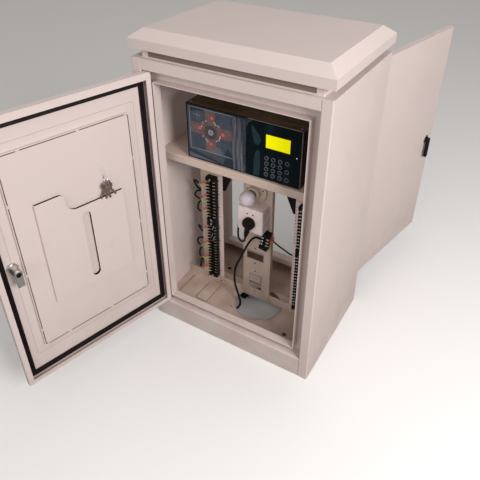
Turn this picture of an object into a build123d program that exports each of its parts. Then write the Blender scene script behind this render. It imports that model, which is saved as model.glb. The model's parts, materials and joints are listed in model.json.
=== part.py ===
# Roadside traffic signal controller cabinet, standing on its base with both doors open.
# Frame: origin at ground level in the middle of the footprint, +X to the cabinet's right
# as seen from the front, +Y to the rear, +Z up. Lengths are in millimetres.
from build123d import *
from math import cos, pi, radians, sin, tan
import os

# Body of the cabinet
body_width = 560
body_depth = 400
body_height = 900
sheet = 2
fold_radius = 3

# Door recess, rain channel and sealing lip around each door opening
side_flange = 29
top_flange = 31
sill_height = 73
channel_depth = 36
side_channel = 26
top_channel = 31
sill_channel = 20
lip_setback = 9.5
foot_flange = 32

# Roof cap on its vented neck
roof_overhang = 3
fascia_height = 25
roof_gap = 23
roof_slope_run = 30
roof_slope_rise = 23
fascia_return = 12
neck_inset_x = 27
neck_inset_y = 12
vent_end = 20
vent_sill = 3

# Doors
door_gap = 3
door_tray = 20
door_edge_radius = 4
pin_hole_margin = 0.5
side_rim = 14.5
top_rim = 19
bottom_rim = 13
front_door_angle = 104.6
rear_door_angle = 101.4
seal_width = 12
seal_thickness = 7
seal_gap = 0.8
pan_nut_space = 9
pan_bottom = 175
pan_top = 773
pan_height = 8
pan_sheet = 1.2
pan_corner = 8
seal_edge_radius = 2

# Document pocket on the front door
pocket_hinge_side = 125
pocket_free_side = 118
pocket_bottom = 310
pocket_mouth = 565
pocket_depth = 9
mouth_rise_x = 10
mouth_rise_radius = 30
mouth_rise_run = 12
mouth_crest_radius = 14
pocket_slot_x = -9
pocket_slot_top = 545
pocket_slot_bottom = 330
pocket_slot_width = 24

# Bunch of keys hung by its ring over the mouth of the pocket
key_ring_x = -77
key_ring_z = 616
key_ring_radius = 12
key_ring_wire = 0.8
key_gap = 0.3
key_thickness = 1.8
key_pitch = 2
key_fans = (-24, -8, 6, 22)
key_head_radius = 10
key_head_drop = 6
key_hole_radius = 3.2
key_blade_width = 6
key_blade_length = 48
key_seat_gap = 0.5
key_bit_depth = 1.5
key_bit_pitch = 5

# Pivot pins that carry each door at its top and bottom corner
pivot_inset = 6
pin_radius = 3
pin_clearance = 0.05
bush_width = 11
bush_depth = 12
bush_height = 20
bush_edge = 0.5
block_width = 18
block_depth = 14
block_height = 14
collar_radius = 5
collar_gap = 0.3

# Turn handle and cam that latch each door
latch_height = 470
latch_setback = 48
barrel_radius = 11
barrel_bore = 7
barrel_clearance = 0.08
barrel_flange = 3
barrel_flange_width = 5
barrel_gap = 0.5
handle_length = 78
handle_width = 17
handle_thickness = 9
handle_standoff = 4
handle_boss_radius = 10
handle_edge = 2.5
cam_length = 46
cam_width = 18
cam_thickness = 3
cam_gap = 1.2
nut_radius = 15
nut_thickness = 6

# Floor
floor_height = 48
floor_edge = 22
floor_seam_y = 41
seam_gap = 0.6
cable_hole_radius = 77
cable_hole_x = 22
cable_hole_y = -39
anchor_radius = 7
anchor_spacing_x = 320
anchor_spacing_y = 182
anchor_y = -24

# Shelf, crossbars, rails and centre plate
shelf_height = 599
shelf_front = 75
shelf_depth = 190
shelf_lip = 24
rail_plane = 182
rail_inner = 127
rail_width = 53
plate_width = 102
plate_flange = 15
bar_leg = 30
bar_sheet = 3
bar_fold = 0.5
gusset_width = 62
gusset_height = 124
gusset_lap = 8

# Controller unit on the shelf
unit_width = 356
unit_height = 168
unit_depth = 67
unit_front = 84
unit_sheet = 1.5
overlay_margin = 4
overlay_thickness = 1
overlay_corner = 3
lcd_width = 71
lcd_height = 39
lcd_inset = 68.5
lcd_z = 116
lcd_depth = 8
lcd_clearance = 0.2
lcd_recess = 0.6
button_radius = 5.5
button_rise = 1.2
button_columns = 4
button_rows = 4
button_pitch_x = 20.3
button_pitch_z = 16.3
keypad_inset = 70
keypad_z = 42

# Terminal blocks
block_poles = 12
pole_pitch = 14
block_end = 16
terminal_width = 34
terminal_base = 9
terminal_rise = 21
fin_thickness = 2
terminal_bottom = 88
terminal_space = 2
number_strip_width = 14
number_strip_sheet = 0.8
strip_setback = 1
ridge_width = 5
ridge_rise = 15

# Lamp, socket and plug on the centre plate
lamp_x = -5
lamp_z = 485
lamp_base_radius = 38
holder_step = 9
holder_neck_radius = 22
holder_height = 28
holder_floor = 6
holder_bore = 13.8
holder_rim = 2
holder_bevel = 3
holder_taper = 1.5
bulb_radius = 24
bulb_neck_radius = 13
bulb_reach = 54
socket_size = 86
socket_z = 403
socket_box_depth = 38
socket_corner = 5
faceplate_thickness = 8
faceplate_edge = 2.5
pin_slot_rise = 22
pin_slot_pitch = 19
pin_slot_width = 3
pin_slot_height = 7
pin_slot_depth = 5
plug_radius = 20
plug_depth = 18
plug_edge = 4
plug_x = 0
plug_z = 397
boot_length = 42
boot_radius = 8.5
boot_tip_radius = 6

# Windows of the centre plate, the rail behind the lower one and its circuit breaker
upper_window = (62, 36, -5, 232)
lower_window = (47, 64, -3, 121)
din_rail_height = 35
din_rail_lip = 5
din_rail_depth = 7.5
din_rail_sheet = 1
din_rail_fold = 1.5
breaker_height = 32
breaker_gap = 1.5
breaker_proud = 2

# Junction block, fixed askew over the edge of the centre plate
junction_x = 34
junction_z = 313
junction_tilt = 14
junction_poles = 3
junction_pitch = 10
junction_width = 22
junction_length = 65
junction_depth = 20
junction_well_width = 8
junction_well_depth = 9

# Leads, the coil of the supply lead under the floor, and the inlet on the controller
lead_diameter = 7
lead_lift = 0.1
plug_lead_diameter = 6
link_diameter = 5
wire_diameter = 2.2
wire_depth = 9
link_exit_run = 12
sleeve_diameter = 7
sleeve_rise = 14
tail_pitch = 2.3
arc_share = 0.45
plug_exit_run = 16
lead_exit_run = 18
coil_x = -125
coil_y = -31
coil_outer = 49
coil_inner = 23.5
coil_height = 14.6
coil_lead_in = 27
coil_lead_out = 40
supply_plug_length = 46
supply_plug_width = 34
supply_plug_height = 22
supply_plug_corner = 6
inlet_inset = 82
inlet_z = 680
inlet_width = 32
inlet_height = 24
inlet_depth = 12

# Values that follow from the ones above
front = -body_depth / 2
rear = body_depth / 2
half_width = body_width / 2
recess_side = half_width - side_flange
recess_top = body_height - top_flange
lip_side = recess_side - side_channel
lip_top = recess_top - top_channel
lip_bottom = sill_height + sill_channel
wall_top = body_height - sheet
channel_floor = channel_depth + sheet
door_half = recess_side - door_gap
door_top = recess_top - door_gap
door_bottom = sill_height + door_gap
pivot_x = door_half - pivot_inset
pivot_y = front + pivot_inset
latch_x = door_half - latch_setback
pan_half = latch_x - nut_radius - pan_nut_space


def back(distance):
    """Return the y of something this far behind the front face of the body."""
    return front + distance


def save(part, name):
    """Label one finished piece and write it to its own file."""
    part.label = name
    export_step(part, f"parts/{name}.step")


def strip(points, thickness, side=Side.LEFT, radius=fold_radius):
    """Return the section of a sheet folded along these corners, to one side of them."""
    with BuildSketch() as section:
        with BuildLine():
            FilletPolyline(*points, radius=radius)
            offset(amount=thickness, side=side)
        make_face()
    return section.sketch


def turned_to_rear(part):
    """Return the same piece turned half round for the rear of the cabinet."""
    return part.rotate(Axis.Z, 180)


os.makedirs("parts", exist_ok=True)

# Side panels: wall, front and rear posts, rain channels and lips folded from one sheet
wall_path = [
    (recess_side, back(channel_floor)),
    (recess_side, front),
    (half_width, front),
    (half_width, rear),
    (recess_side, rear),
    (recess_side, -back(channel_floor)),
]
lip_path = [
    (recess_side + sheet, back(channel_depth)),
    (lip_side, back(channel_depth)),
    (lip_side, back(lip_setback)),
]
with BuildPart() as right_side_panel:
    with BuildSketch():
        add(strip(wall_path, sheet))
    extrude(amount=wall_top)
    with BuildSketch(Plane.XY.offset(sill_height)):
        with Locations((lip_side - sheet, back(channel_depth))):
            Rectangle(side_channel + 2 * sheet, sheet, align=(Align.MIN, Align.MIN))
    extrude(amount=recess_top - sill_height)
    with BuildSketch(Plane.XY.offset(lip_bottom)):
        add(strip(lip_path, sheet, Side.RIGHT))
    extrude(amount=lip_top - lip_bottom)
    with BuildSketch():
        with Locations((half_width - sheet, 0)):
            Rectangle(side_flange - sheet, body_depth - 2 * sheet, align=(Align.MAX, Align.CENTER))
    extrude(amount=sheet)
    mirror(about=Plane.XZ)
save(right_side_panel.part, "right_side_panel")
save(right_side_panel.part.mirror(Plane.YZ), "left_side_panel")

# Sill and header: front sheet, recess, rain channel and lip, notched round the side lips
sill_path = [
    (back(foot_flange), 0),
    (front, 0),
    (front, sill_height),
    (back(channel_depth), sill_height),
    (back(channel_depth), lip_bottom),
    (back(lip_setback), lip_bottom),
]
header_path = [
    (front, wall_top),
    (front, recess_top),
    (back(channel_depth), recess_top),
    (back(channel_depth), lip_top),
    (back(lip_setback), lip_top),
]
notch_width = side_channel + sheet
with BuildPart() as front_sill:
    with BuildSketch(Plane.YZ):
        add(strip(sill_path, sheet, Side.RIGHT))
    extrude(amount=recess_side, both=True)
    with BuildSketch(Plane.XY.offset(sill_height)):
        with GridLocations(2 * recess_side - notch_width, 0, 2, 1):
            Rectangle(notch_width, body_depth)
    extrude(amount=sill_height, mode=Mode.SUBTRACT)
    with Locations((-pivot_x, pivot_y, sill_height)):
        Hole(pin_radius, depth=sheet)
with BuildPart() as front_header:
    with BuildSketch(Plane.YZ):
        add(strip(header_path, sheet))
    extrude(amount=recess_side, both=True)
    with BuildSketch(Plane.XY.offset(recess_top)):
        with GridLocations(2 * recess_side - notch_width, 0, 2, 1):
            Rectangle(notch_width, body_depth)
    extrude(amount=-2 * top_channel, mode=Mode.SUBTRACT)
    with Locations((-pivot_x, pivot_y, recess_top + sheet)):
        Hole(pin_radius, depth=sheet)
save(front_sill.part, "front_sill")
save(front_header.part, "front_header")
save(turned_to_rear(front_sill.part), "rear_sill")
save(turned_to_rear(front_header.part), "rear_header")

# Top plate that closes the body under the roof
with BuildPart() as top_plate:
    with BuildSketch(Plane.XY.offset(wall_top)):
        RectangleRounded(body_width, body_depth, fold_radius)
    extrude(amount=sheet)
save(top_plate.part, "top_plate")

# Neck with a vent slot at front and rear, and roof cap: fascia, slopes on four sides, flat top and a return under the edge
roof_base = body_height + roof_gap
slope_base = roof_base + fascia_height
roof_top = slope_base + roof_slope_rise
roof_width = body_width + 2 * roof_overhang
roof_depth = body_depth + 2 * roof_overhang
vent_width = body_width - 2 * (neck_inset_x + vent_end)
with BuildPart() as roof_neck:
    with BuildSketch(Plane.XY.offset(body_height)):
        RectangleRounded(body_width - 2 * neck_inset_x, body_depth - 2 * neck_inset_y, fold_radius)
        offset(amount=-sheet, mode=Mode.SUBTRACT)
    extrude(amount=roof_top - sheet - body_height)
    for side_x, side_y in ((1, 0), (-1, 0), (0, 1), (0, -1)):
        slope_foot = (side_x * roof_width / 2, side_y * roof_depth / 2, slope_base)
        slope_normal = (side_x * roof_slope_rise, side_y * roof_slope_rise, roof_slope_run)
        slope_underside = Plane(slope_foot, z_dir=slope_normal).offset(-sheet)
        split(bisect_by=slope_underside, keep=Keep.BOTTOM)
    with BuildSketch(Plane.XZ):
        with Locations((0, body_height + vent_sill)):
            Rectangle(vent_width, roof_gap - vent_sill, align=(Align.CENTER, Align.MIN))
    extrude(amount=body_depth, both=True, mode=Mode.SUBTRACT)
save(roof_neck.part, "roof_neck")
with BuildPart() as roof_cap:
    with BuildSketch(Plane.XY.offset(roof_base)):
        Rectangle(roof_width, roof_depth)
    extrude(amount=fascia_height)
    with BuildSketch(Plane.XY.offset(slope_base)):
        Rectangle(roof_width, roof_depth)
    with BuildSketch(Plane.XY.offset(roof_top)):
        Rectangle(roof_width - 2 * roof_slope_run, roof_depth - 2 * roof_slope_run)
    loft()
    offset(amount=-sheet, openings=roof_cap.faces().sort_by(Axis.Z)[0])
    with BuildSketch(Plane.XY.offset(roof_base)):
        Rectangle(roof_width, roof_depth)
        offset(amount=-fascia_return, kind=Kind.INTERSECTION, mode=Mode.SUBTRACT)
    extrude(amount=sheet)
save(roof_cap.part, "roof_cap")

# Floor in two folded trays that fit round the corner posts
with BuildPart() as floor_plate:
    with BuildSketch(Plane.XY.offset(floor_height - floor_edge)):
        with Locations((0, back(sheet))):
            Rectangle(
                body_width - 2 * sheet,
                floor_seam_y - seam_gap / 2 - back(sheet),
                align=(Align.CENTER, Align.MIN),
            )
        with Locations((-half_width, front), (half_width, front)):
            Rectangle(2 * side_flange, 2 * channel_floor, mode=Mode.SUBTRACT)
    extrude(amount=floor_edge)
    offset(amount=-sheet, openings=floor_plate.faces().sort_by(Axis.Z)[0])
    with Locations((cable_hole_x, cable_hole_y, floor_height)):
        Hole(cable_hole_radius)
    with Locations((0, anchor_y, floor_height)):
        with GridLocations(anchor_spacing_x, anchor_spacing_y, 2, 2):
            Hole(anchor_radius)
save(floor_plate.part, "floor_plate")
with BuildPart() as rear_floor_plate:
    with BuildSketch(Plane.XY.offset(floor_height - floor_edge)):
        with Locations((0, rear - sheet)):
            Rectangle(
                body_width - 2 * sheet,
                rear - sheet - floor_seam_y - seam_gap / 2,
                align=(Align.CENTER, Align.MAX),
            )
        with Locations((-half_width, rear), (half_width, rear)):
            Rectangle(2 * side_flange, 2 * channel_floor, mode=Mode.SUBTRACT)
    extrude(amount=floor_edge)
    offset(amount=-sheet, openings=rear_floor_plate.faces().sort_by(Axis.Z)[0])
    with Locations((0, anchor_y, floor_height)):
        with GridLocations(anchor_spacing_x, anchor_spacing_y, 2, 2):
            Hole(anchor_radius)
save(rear_floor_plate.part, "rear_floor_plate")


# Crossbars from wall to wall that carry the rails, and the shelf they help to hold
bar_face = back(rail_plane + sheet)
shelf_underside = shelf_height - sheet
inner_half = half_width - sheet
bottom_bar_path = [
    (bar_face + bar_leg, floor_height),
    (bar_face, floor_height),
    (bar_face, floor_height + bar_leg),
]
upper_bar_path = [
    (bar_face + bar_leg, shelf_underside),
    (bar_face, shelf_underside),
    (bar_face, shelf_underside - bar_leg),
]
shelf_path = [
    (back(shelf_front), shelf_height - shelf_lip),
    (back(shelf_front), shelf_height),
    (back(shelf_front + shelf_depth), shelf_height),
    (back(shelf_front + shelf_depth), shelf_height - shelf_lip),
]
with BuildPart() as crossbars:
    with BuildSketch(Plane.YZ):
        add(strip(bottom_bar_path, bar_sheet, Side.RIGHT, radius=bar_fold))
    extrude(amount=inner_half, both=True)
    with BuildSketch(Plane.YZ):
        add(strip(upper_bar_path, bar_sheet, Side.LEFT, radius=bar_fold))
    extrude(amount=inner_half, both=True)
save(crossbars.part, "crossbars")
with BuildPart() as shelf:
    with BuildSketch(Plane.YZ):
        add(strip(shelf_path, sheet, Side.RIGHT))
    extrude(amount=inner_half, both=True)
save(shelf.part, "shelf")

# Upright rails, the centre plate between them and the gussets in the upper corners
rail_foot = floor_height + sheet
rail_top = shelf_underside - sheet
rail_x = rail_inner + rail_width / 2
with BuildPart() as terminal_rails:
    with BuildSketch(Plane.XY.offset(rail_foot)):
        with Locations((rail_x, bar_face)):
            Rectangle(rail_width, sheet, align=(Align.CENTER, Align.MAX))
    extrude(amount=rail_top - rail_foot)
    mirror(about=Plane.YZ)
save(terminal_rails.part, "terminal_rails")

plate_half = plate_width / 2
plate_face = back(rail_plane)
flange_foot = floor_height + bar_leg + sheet
flange_top = shelf_underside - bar_leg - sheet
plate_path = [
    (-plate_half, plate_face + plate_flange),
    (-plate_half, plate_face),
    (plate_half, plate_face),
    (plate_half, plate_face + plate_flange),
]
with BuildPart() as centre_plate:
    with BuildSketch(Plane.XY.offset(flange_foot)):
        add(strip(plate_path, sheet))
    extrude(amount=flange_top - flange_foot)
    with BuildSketch(Plane.XY.offset(rail_foot)):
        with Locations((0, plate_face)):
            Rectangle(plate_width - 2 * fold_radius, sheet, align=(Align.CENTER, Align.MIN))
    extrude(amount=rail_top - rail_foot)
    for width, height, x, z in (upper_window, lower_window):
        with BuildSketch(Plane.XZ.offset(-plate_face)):
            with Locations((x, z)):
                Rectangle(width, height)
        extrude(amount=-sheet, mode=Mode.SUBTRACT)
save(centre_plate.part, "centre_plate")

gusset_top = shelf_underside - bar_leg
gusset_corners = [
    (rail_inner + gusset_lap, gusset_top),
    (rail_inner - gusset_width, gusset_top),
    (rail_inner - gusset_lap, gusset_top - gusset_height),
    (rail_inner + gusset_lap, gusset_top - gusset_height),
]
with BuildPart() as shelf_gussets:
    with BuildSketch(Plane.XZ.offset(-bar_face)):
        with BuildLine():
            Polyline(*gusset_corners, close=True)
        make_face()
    extrude(amount=-bar_sheet)
    mirror(about=Plane.YZ)
save(shelf_gussets.part, "shelf_gussets")

# Rail and circuit breaker behind the lower window of the centre plate
din_back = plate_face + plate_flange
din_z = lower_window[3]
din_path = [
    (din_back - din_rail_depth, din_z - din_rail_height / 2),
    (din_back - din_rail_depth, din_z - din_rail_height / 2 + din_rail_lip),
    (din_back, din_z - din_rail_height / 2 + din_rail_lip),
    (din_back, din_z + din_rail_height / 2 - din_rail_lip),
    (din_back - din_rail_depth, din_z + din_rail_height / 2 - din_rail_lip),
    (din_back - din_rail_depth, din_z + din_rail_height / 2),
]
with BuildPart() as din_rail:
    with BuildSketch(Plane.YZ):
        add(strip(din_path, din_rail_sheet, Side.RIGHT, radius=din_rail_fold))
    extrude(amount=plate_half - sheet, both=True)
save(din_rail.part, "din_rail")

# Terminal blocks: a base with a fin between each pair of poles and a ridge along the middle
terminal_length = block_poles * pole_pitch + 2 * block_end
terminal_outer = rail_inner + strip_setback + number_strip_width + terminal_space
terminal_x = terminal_outer + terminal_width / 2
terminal_feet = (terminal_bottom, terminal_bottom + terminal_length + terminal_space)
with BuildPart() as right_terminal_blocks:
    for foot in terminal_feet:
        with BuildSketch(Plane.YZ.offset(terminal_outer)):
            with Locations((plate_face, foot)):
                Rectangle(terminal_base, terminal_length, align=(Align.MAX, Align.MIN))
            with Locations((plate_face, foot + terminal_length / 2)):
                with GridLocations(0, pole_pitch, 1, block_poles + 1):
                    Rectangle(terminal_rise, fin_thickness, align=(Align.MAX, Align.CENTER))
                with GridLocations(0, terminal_length - block_end, 1, 2):
                    Rectangle(terminal_rise, block_end, align=(Align.MAX, Align.CENTER))
        extrude(amount=terminal_width)
        with BuildSketch(Plane.XY.offset(foot)):
            with Locations((terminal_x, plate_face)):
                Rectangle(ridge_width, ridge_rise, align=(Align.CENTER, Align.MAX))
        extrude(amount=terminal_length)
save(right_terminal_blocks.part, "right_terminal_blocks")
save(right_terminal_blocks.part.mirror(Plane.YZ), "left_terminal_blocks")

# Number strips beside the terminal blocks
with BuildPart() as number_strips:
    with BuildSketch(Plane.XY.offset(terminal_bottom)):
        with Locations((rail_inner + strip_setback, plate_face)):
            Rectangle(number_strip_width, number_strip_sheet, align=(Align.MIN, Align.MAX))
    extrude(amount=2 * terminal_length + terminal_space)
    mirror(about=Plane.YZ)
save(number_strips.part, "number_strips")

# Controller unit: open case, top cover, front plate and the printed overlay with its keys
unit_base = shelf_height
unit_half = unit_width / 2
unit_y = back(unit_front)
case_height = unit_height - unit_sheet
case_front = unit_y + overlay_thickness + unit_sheet
case_depth = unit_depth - overlay_thickness - unit_sheet
lcd_centre = (unit_half - lcd_inset, unit_base + lcd_z)
button_centre = (unit_half - keypad_inset, unit_base + keypad_z)
with BuildPart() as controller_case:
    with BuildSketch(Plane.XY.offset(unit_base)):
        with Locations((0, case_front)):
            Rectangle(unit_width, case_depth, align=(Align.CENTER, Align.MIN))
    extrude(amount=case_height)
    case_openings = [controller_case.faces().sort_by(Axis.Z)[-1], controller_case.faces().sort_by(Axis.Y)[0]]
    offset(amount=-unit_sheet, openings=case_openings)
save(controller_case.part, "controller_case")
with BuildPart() as controller_cover:
    with BuildSketch(Plane.XY.offset(unit_base + case_height)):
        with Locations((0, case_front)):
            Rectangle(unit_width, case_depth, align=(Align.CENTER, Align.MIN))
    extrude(amount=unit_sheet)
save(controller_cover.part, "controller_cover")
with BuildPart() as controller_front_plate:
    with BuildSketch(Plane.XZ.offset(-case_front)):
        with Locations((0, unit_base + unit_height / 2)):
            Rectangle(unit_width, unit_height)
        with Locations(lcd_centre):
            Rectangle(lcd_width, lcd_height, mode=Mode.SUBTRACT)
    extrude(amount=unit_sheet)
save(controller_front_plate.part, "controller_front_plate")
with BuildPart() as controller_overlay:
    with BuildSketch(Plane.XZ.offset(unit_sheet - case_front)):
        with Locations((0, unit_base + unit_height / 2)):
            RectangleRounded(unit_width - 2 * overlay_margin, unit_height - 2 * overlay_margin, overlay_corner)
        with Locations(lcd_centre):
            Rectangle(lcd_width, lcd_height, mode=Mode.SUBTRACT)
    extrude(amount=overlay_thickness)
save(controller_overlay.part, "controller_overlay")
with BuildPart() as controller_lcd:
    with BuildSketch(Plane.XZ.offset(-unit_y - lcd_recess)):
        with Locations(lcd_centre):
            Rectangle(lcd_width - 2 * lcd_clearance, lcd_height - 2 * lcd_clearance)
    extrude(amount=-lcd_depth)
save(controller_lcd.part, "controller_lcd")
with BuildPart() as controller_keys:
    with BuildSketch(Plane.XZ.offset(-unit_y)):
        with Locations(button_centre):
            with GridLocations(button_pitch_x, button_pitch_z, button_columns, button_rows):
                Circle(button_radius)
    extrude(amount=button_rise)
save(controller_keys.part, "controller_keys")


# Doors are drawn closed at the front with the hinge on the left, then swung open
door_width = 2 * door_half
door_height = door_top - door_bottom
door_middle = (door_top + door_bottom) / 2
seal_half = door_half - side_rim - seal_gap
seal_top = door_top - top_rim - seal_gap
seal_bottom = door_bottom + bottom_rim + seal_gap
front_hinge = Axis((-pivot_x, pivot_y, 0), (0, 0, 1))
rear_hinge = Axis((pivot_x, -pivot_y, 0), (0, 0, 1))


def hang_front(part):
    """Return a front door piece swung to the angle at which the door stands."""
    return part.rotate(front_hinge, -front_door_angle)


def hang_rear(part):
    """Return the same piece on the rear door, swung to its own angle."""
    return turned_to_rear(part).rotate(rear_hinge, -rear_door_angle)


# Door panel: a folded tray with a rim, pierced for the pivot pins and the latch
with BuildPart() as door_panel:
    with BuildSketch(Plane.XZ.offset(-front)):
        with Locations((0, door_middle)):
            Rectangle(door_width, door_height)
    extrude(amount=-door_tray)
    outer_face = door_panel.faces().sort_by(Axis.Y)[0]
    fillet(outer_face.edges().filter_by(Axis.Z), door_edge_radius)
    offset(amount=-sheet, openings=door_panel.faces().sort_by(Axis.Y)[-1])
    with BuildSketch(Plane.XZ.offset(-back(door_tray))):
        with Locations((0, door_middle)):
            Rectangle(door_width, door_height)
        with Locations((0, (door_top - top_rim + door_bottom + bottom_rim) / 2)):
            rim_opening = (door_width - 2 * side_rim, door_height - top_rim - bottom_rim)
            Rectangle(*rim_opening, mode=Mode.SUBTRACT)
    extrude(amount=sheet)
    with Locations((-pivot_x, pivot_y, door_top)):
        Hole(pin_radius + pin_hole_margin, depth=sheet)
    with Locations((-pivot_x, pivot_y, door_bottom + sheet)):
        Hole(pin_radius + pin_hole_margin, depth=sheet)
    with BuildSketch(Plane.XZ.offset(-front)):
        with Locations((latch_x, latch_height)):
            Circle(barrel_radius)
    extrude(amount=-sheet, mode=Mode.SUBTRACT)
save(hang_front(door_panel.part), "front_door_panel")
save(hang_rear(door_panel.part), "rear_door_panel")

# Rubber seal glued inside the rim, where the lip of the opening presses when shut
with BuildPart() as door_seal:
    with BuildSketch(Plane.XZ.offset(-back(sheet))):
        with Locations((0, (seal_top + seal_bottom) / 2)):
            Rectangle(2 * seal_half, seal_top - seal_bottom)
            Rectangle(
                2 * (seal_half - seal_width),
                seal_top - seal_bottom - 2 * seal_width,
                mode=Mode.SUBTRACT,
            )
    extrude(amount=-seal_thickness)
    fillet(door_seal.edges().filter_by(Axis.Z).group_by(Axis.Y)[-1], seal_edge_radius)
save(hang_front(door_seal.part), "front_door_seal")
save(hang_rear(door_seal.part), "rear_door_seal")

# Shallow pan that stiffens the door, open towards the panel
with BuildPart() as door_pan:
    with BuildSketch(Plane.XZ.offset(-back(sheet))):
        with Locations((0, (pan_top + pan_bottom) / 2)):
            RectangleRounded(2 * pan_half, pan_top - pan_bottom, pan_corner)
    extrude(amount=-pan_height)
    offset(amount=-pan_sheet, openings=door_pan.faces().sort_by(Axis.Y)[0])
save(hang_front(door_pan.part), "front_door_pan")
save(hang_rear(door_pan.part), "rear_door_pan")

# Document pocket on the front door's pan, with its mouth lower on the hinge side
pan_face = back(sheet + pan_height)
with BuildPart() as document_pocket:
    with BuildSketch(Plane.XZ.offset(-pan_face)):
        with BuildLine():
            mouth = Line((-pocket_hinge_side, pocket_mouth), (mouth_rise_x, pocket_mouth))
            scoop = JernArc(mouth @ 1, mouth % 1, mouth_rise_radius, 90)
            rise = Line(scoop @ 1, (scoop @ 1) + (0, mouth_rise_run))
            crest = JernArc(rise @ 1, rise % 1, mouth_crest_radius, -90)
            top = Line(crest @ 1, (pocket_free_side, (crest @ 1).Y))
            Polyline(
                top @ 1,
                (pocket_free_side, pocket_bottom),
                (-pocket_hinge_side, pocket_bottom),
                mouth @ 0,
            )
        make_face()
    extrude(amount=-pocket_depth)
    pocket_walls = document_pocket.faces().filter_by(lambda face: abs(face.normal_at().Y) < 0.5)
    mouth_faces = pocket_walls.filter_by(lambda face: face.center().Z > pocket_mouth - 1)
    offset(amount=-pan_sheet, openings=mouth_faces + [document_pocket.faces().sort_by(Axis.Y)[0]])
    with BuildSketch(Plane.XZ.offset(-pan_face)):
        with Locations((pocket_slot_x, (pocket_slot_top + pocket_slot_bottom) / 2)):
            SlotOverall(pocket_slot_top - pocket_slot_bottom, pocket_slot_width, rotation=90)
    extrude(amount=-pocket_depth, mode=Mode.SUBTRACT)
save(hang_front(document_pocket.part), "document_pocket")

# Keys side by side on a ring that stands out from the pan, tips over the pocket's face
key_hole_y = pan_face + pocket_depth + key_gap
key_hang = key_hole_radius - key_ring_wire - key_seat_gap
blade_offset = -key_head_drop - key_blade_length / 2
bit_offset = -key_head_drop - key_blade_length + key_bit_pitch
with BuildPart() as key_bunch:
    ring_centre_y = pan_face + key_gap + key_ring_wire + key_ring_radius
    with BuildSketch(Plane.XY.offset(key_ring_z)):
        with Locations((key_ring_x, ring_centre_y + key_ring_radius)):
            Circle(key_ring_wire)
    revolve(axis=Axis((key_ring_x, ring_centre_y, key_ring_z), (1, 0, 0)))
    for place, fan in enumerate(key_fans):
        key_y = key_hole_y + place * key_pitch
        wire_drop = (key_ring_radius**2 - (key_y + key_thickness / 2 - ring_centre_y) ** 2) ** 0.5
        key_plane = Plane(
            (key_ring_x, key_y, key_ring_z - wire_drop - key_hang),
            x_dir=(cos(radians(fan)), 0, sin(radians(fan))),
            z_dir=(0, -1, 0),
        )
        with BuildSketch(key_plane):
            with Locations((0, -key_head_drop)):
                Circle(key_head_radius)
            with Locations((0, blade_offset)):
                Rectangle(key_blade_width, key_blade_length)
            with Locations((key_blade_width / 2, bit_offset), (key_blade_width / 2, bit_offset + key_bit_pitch)):
                Rectangle(2 * key_bit_depth, key_bit_pitch / 2, mode=Mode.SUBTRACT)
            Circle(key_hole_radius, mode=Mode.SUBTRACT)
        extrude(amount=-key_thickness)
save(hang_front(key_bunch.part), "key_bunch")

# Pivot pins held in blocks behind the sill and header, and the bored bushes on the door
lower_pin_foot = sill_height - sheet - block_height
lower_pin_top = door_bottom + sheet + bush_height
upper_pin_foot = door_top - sheet - bush_height
upper_pin_top = recess_top + sheet + block_height
with BuildPart() as pivot_pins:
    with BuildSketch(Plane.XY.offset(lower_pin_foot)):
        with Locations((-pivot_x, pivot_y)):
            Circle(pin_radius)
    extrude(amount=lower_pin_top - lower_pin_foot)
    with BuildSketch(Plane.XY.offset(sill_height)):
        with Locations((-pivot_x, pivot_y)):
            Circle(collar_radius)
    extrude(amount=door_gap - collar_gap)
    with BuildSketch(Plane.XY.offset(upper_pin_foot)):
        with Locations((-pivot_x, pivot_y)):
            Circle(pin_radius)
    extrude(amount=upper_pin_top - upper_pin_foot)
    add(turned_to_rear(pivot_pins.part))
save(pivot_pins.part, "pivot_pins")

with BuildPart() as pivot_blocks:
    for foot in (lower_pin_foot, recess_top + sheet):
        with BuildSketch(Plane.XY.offset(foot)):
            with Locations((-recess_side, back(sheet + fold_radius))):
                Rectangle(block_width, block_depth, align=(Align.MIN, Align.MIN))
            with Locations((-pivot_x, pivot_y)):
                Circle(pin_radius, mode=Mode.SUBTRACT)
        extrude(amount=block_height)
    add(turned_to_rear(pivot_blocks.part))
save(pivot_blocks.part, "pivot_blocks")

with BuildPart() as door_bushes:
    for foot in (door_bottom + sheet, upper_pin_foot):
        with BuildSketch(Plane.XY.offset(foot)):
            with Locations((sheet - door_half + bush_width / 2, back(sheet + bush_depth / 2))):
                RectangleRounded(bush_width, bush_depth, door_edge_radius - sheet + bush_edge)
            with Locations((-pivot_x, pivot_y)):
                Circle(pin_radius + pin_clearance, mode=Mode.SUBTRACT)
        extrude(amount=bush_height)
save(hang_front(door_bushes.part), "front_door_bushes")
save(hang_rear(door_bushes.part), "rear_door_bushes")

# Latch: a bush through the door with its nut, and the turning spindle with handle and cam
spindle_radius = barrel_bore - barrel_clearance
flange_face = front - barrel_flange
barrel_end = back(channel_floor + barrel_gap)
cam_face = back(channel_floor + cam_gap)
latch_plane = Plane((latch_x, 0, latch_height), x_dir=(1, 0, 0), z_dir=(0, -1, 0))
with BuildPart() as latch_barrel:
    with BuildSketch(latch_plane.offset(-barrel_end)):
        Circle(barrel_radius)
    extrude(amount=barrel_end - front)
    with BuildSketch(latch_plane.offset(-front)):
        Circle(barrel_radius + barrel_flange_width)
    extrude(amount=barrel_flange)
    with BuildSketch(latch_plane.offset(-back(sheet + nut_thickness))):
        RegularPolygon(nut_radius, 6)
    extrude(amount=nut_thickness)
    with BuildSketch(latch_plane.offset(-barrel_end)):
        Circle(barrel_bore)
    extrude(amount=barrel_end - flange_face, mode=Mode.SUBTRACT)
save(hang_front(latch_barrel.part), "front_latch_barrel")
save(hang_rear(latch_barrel.part), "rear_latch_barrel")

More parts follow.
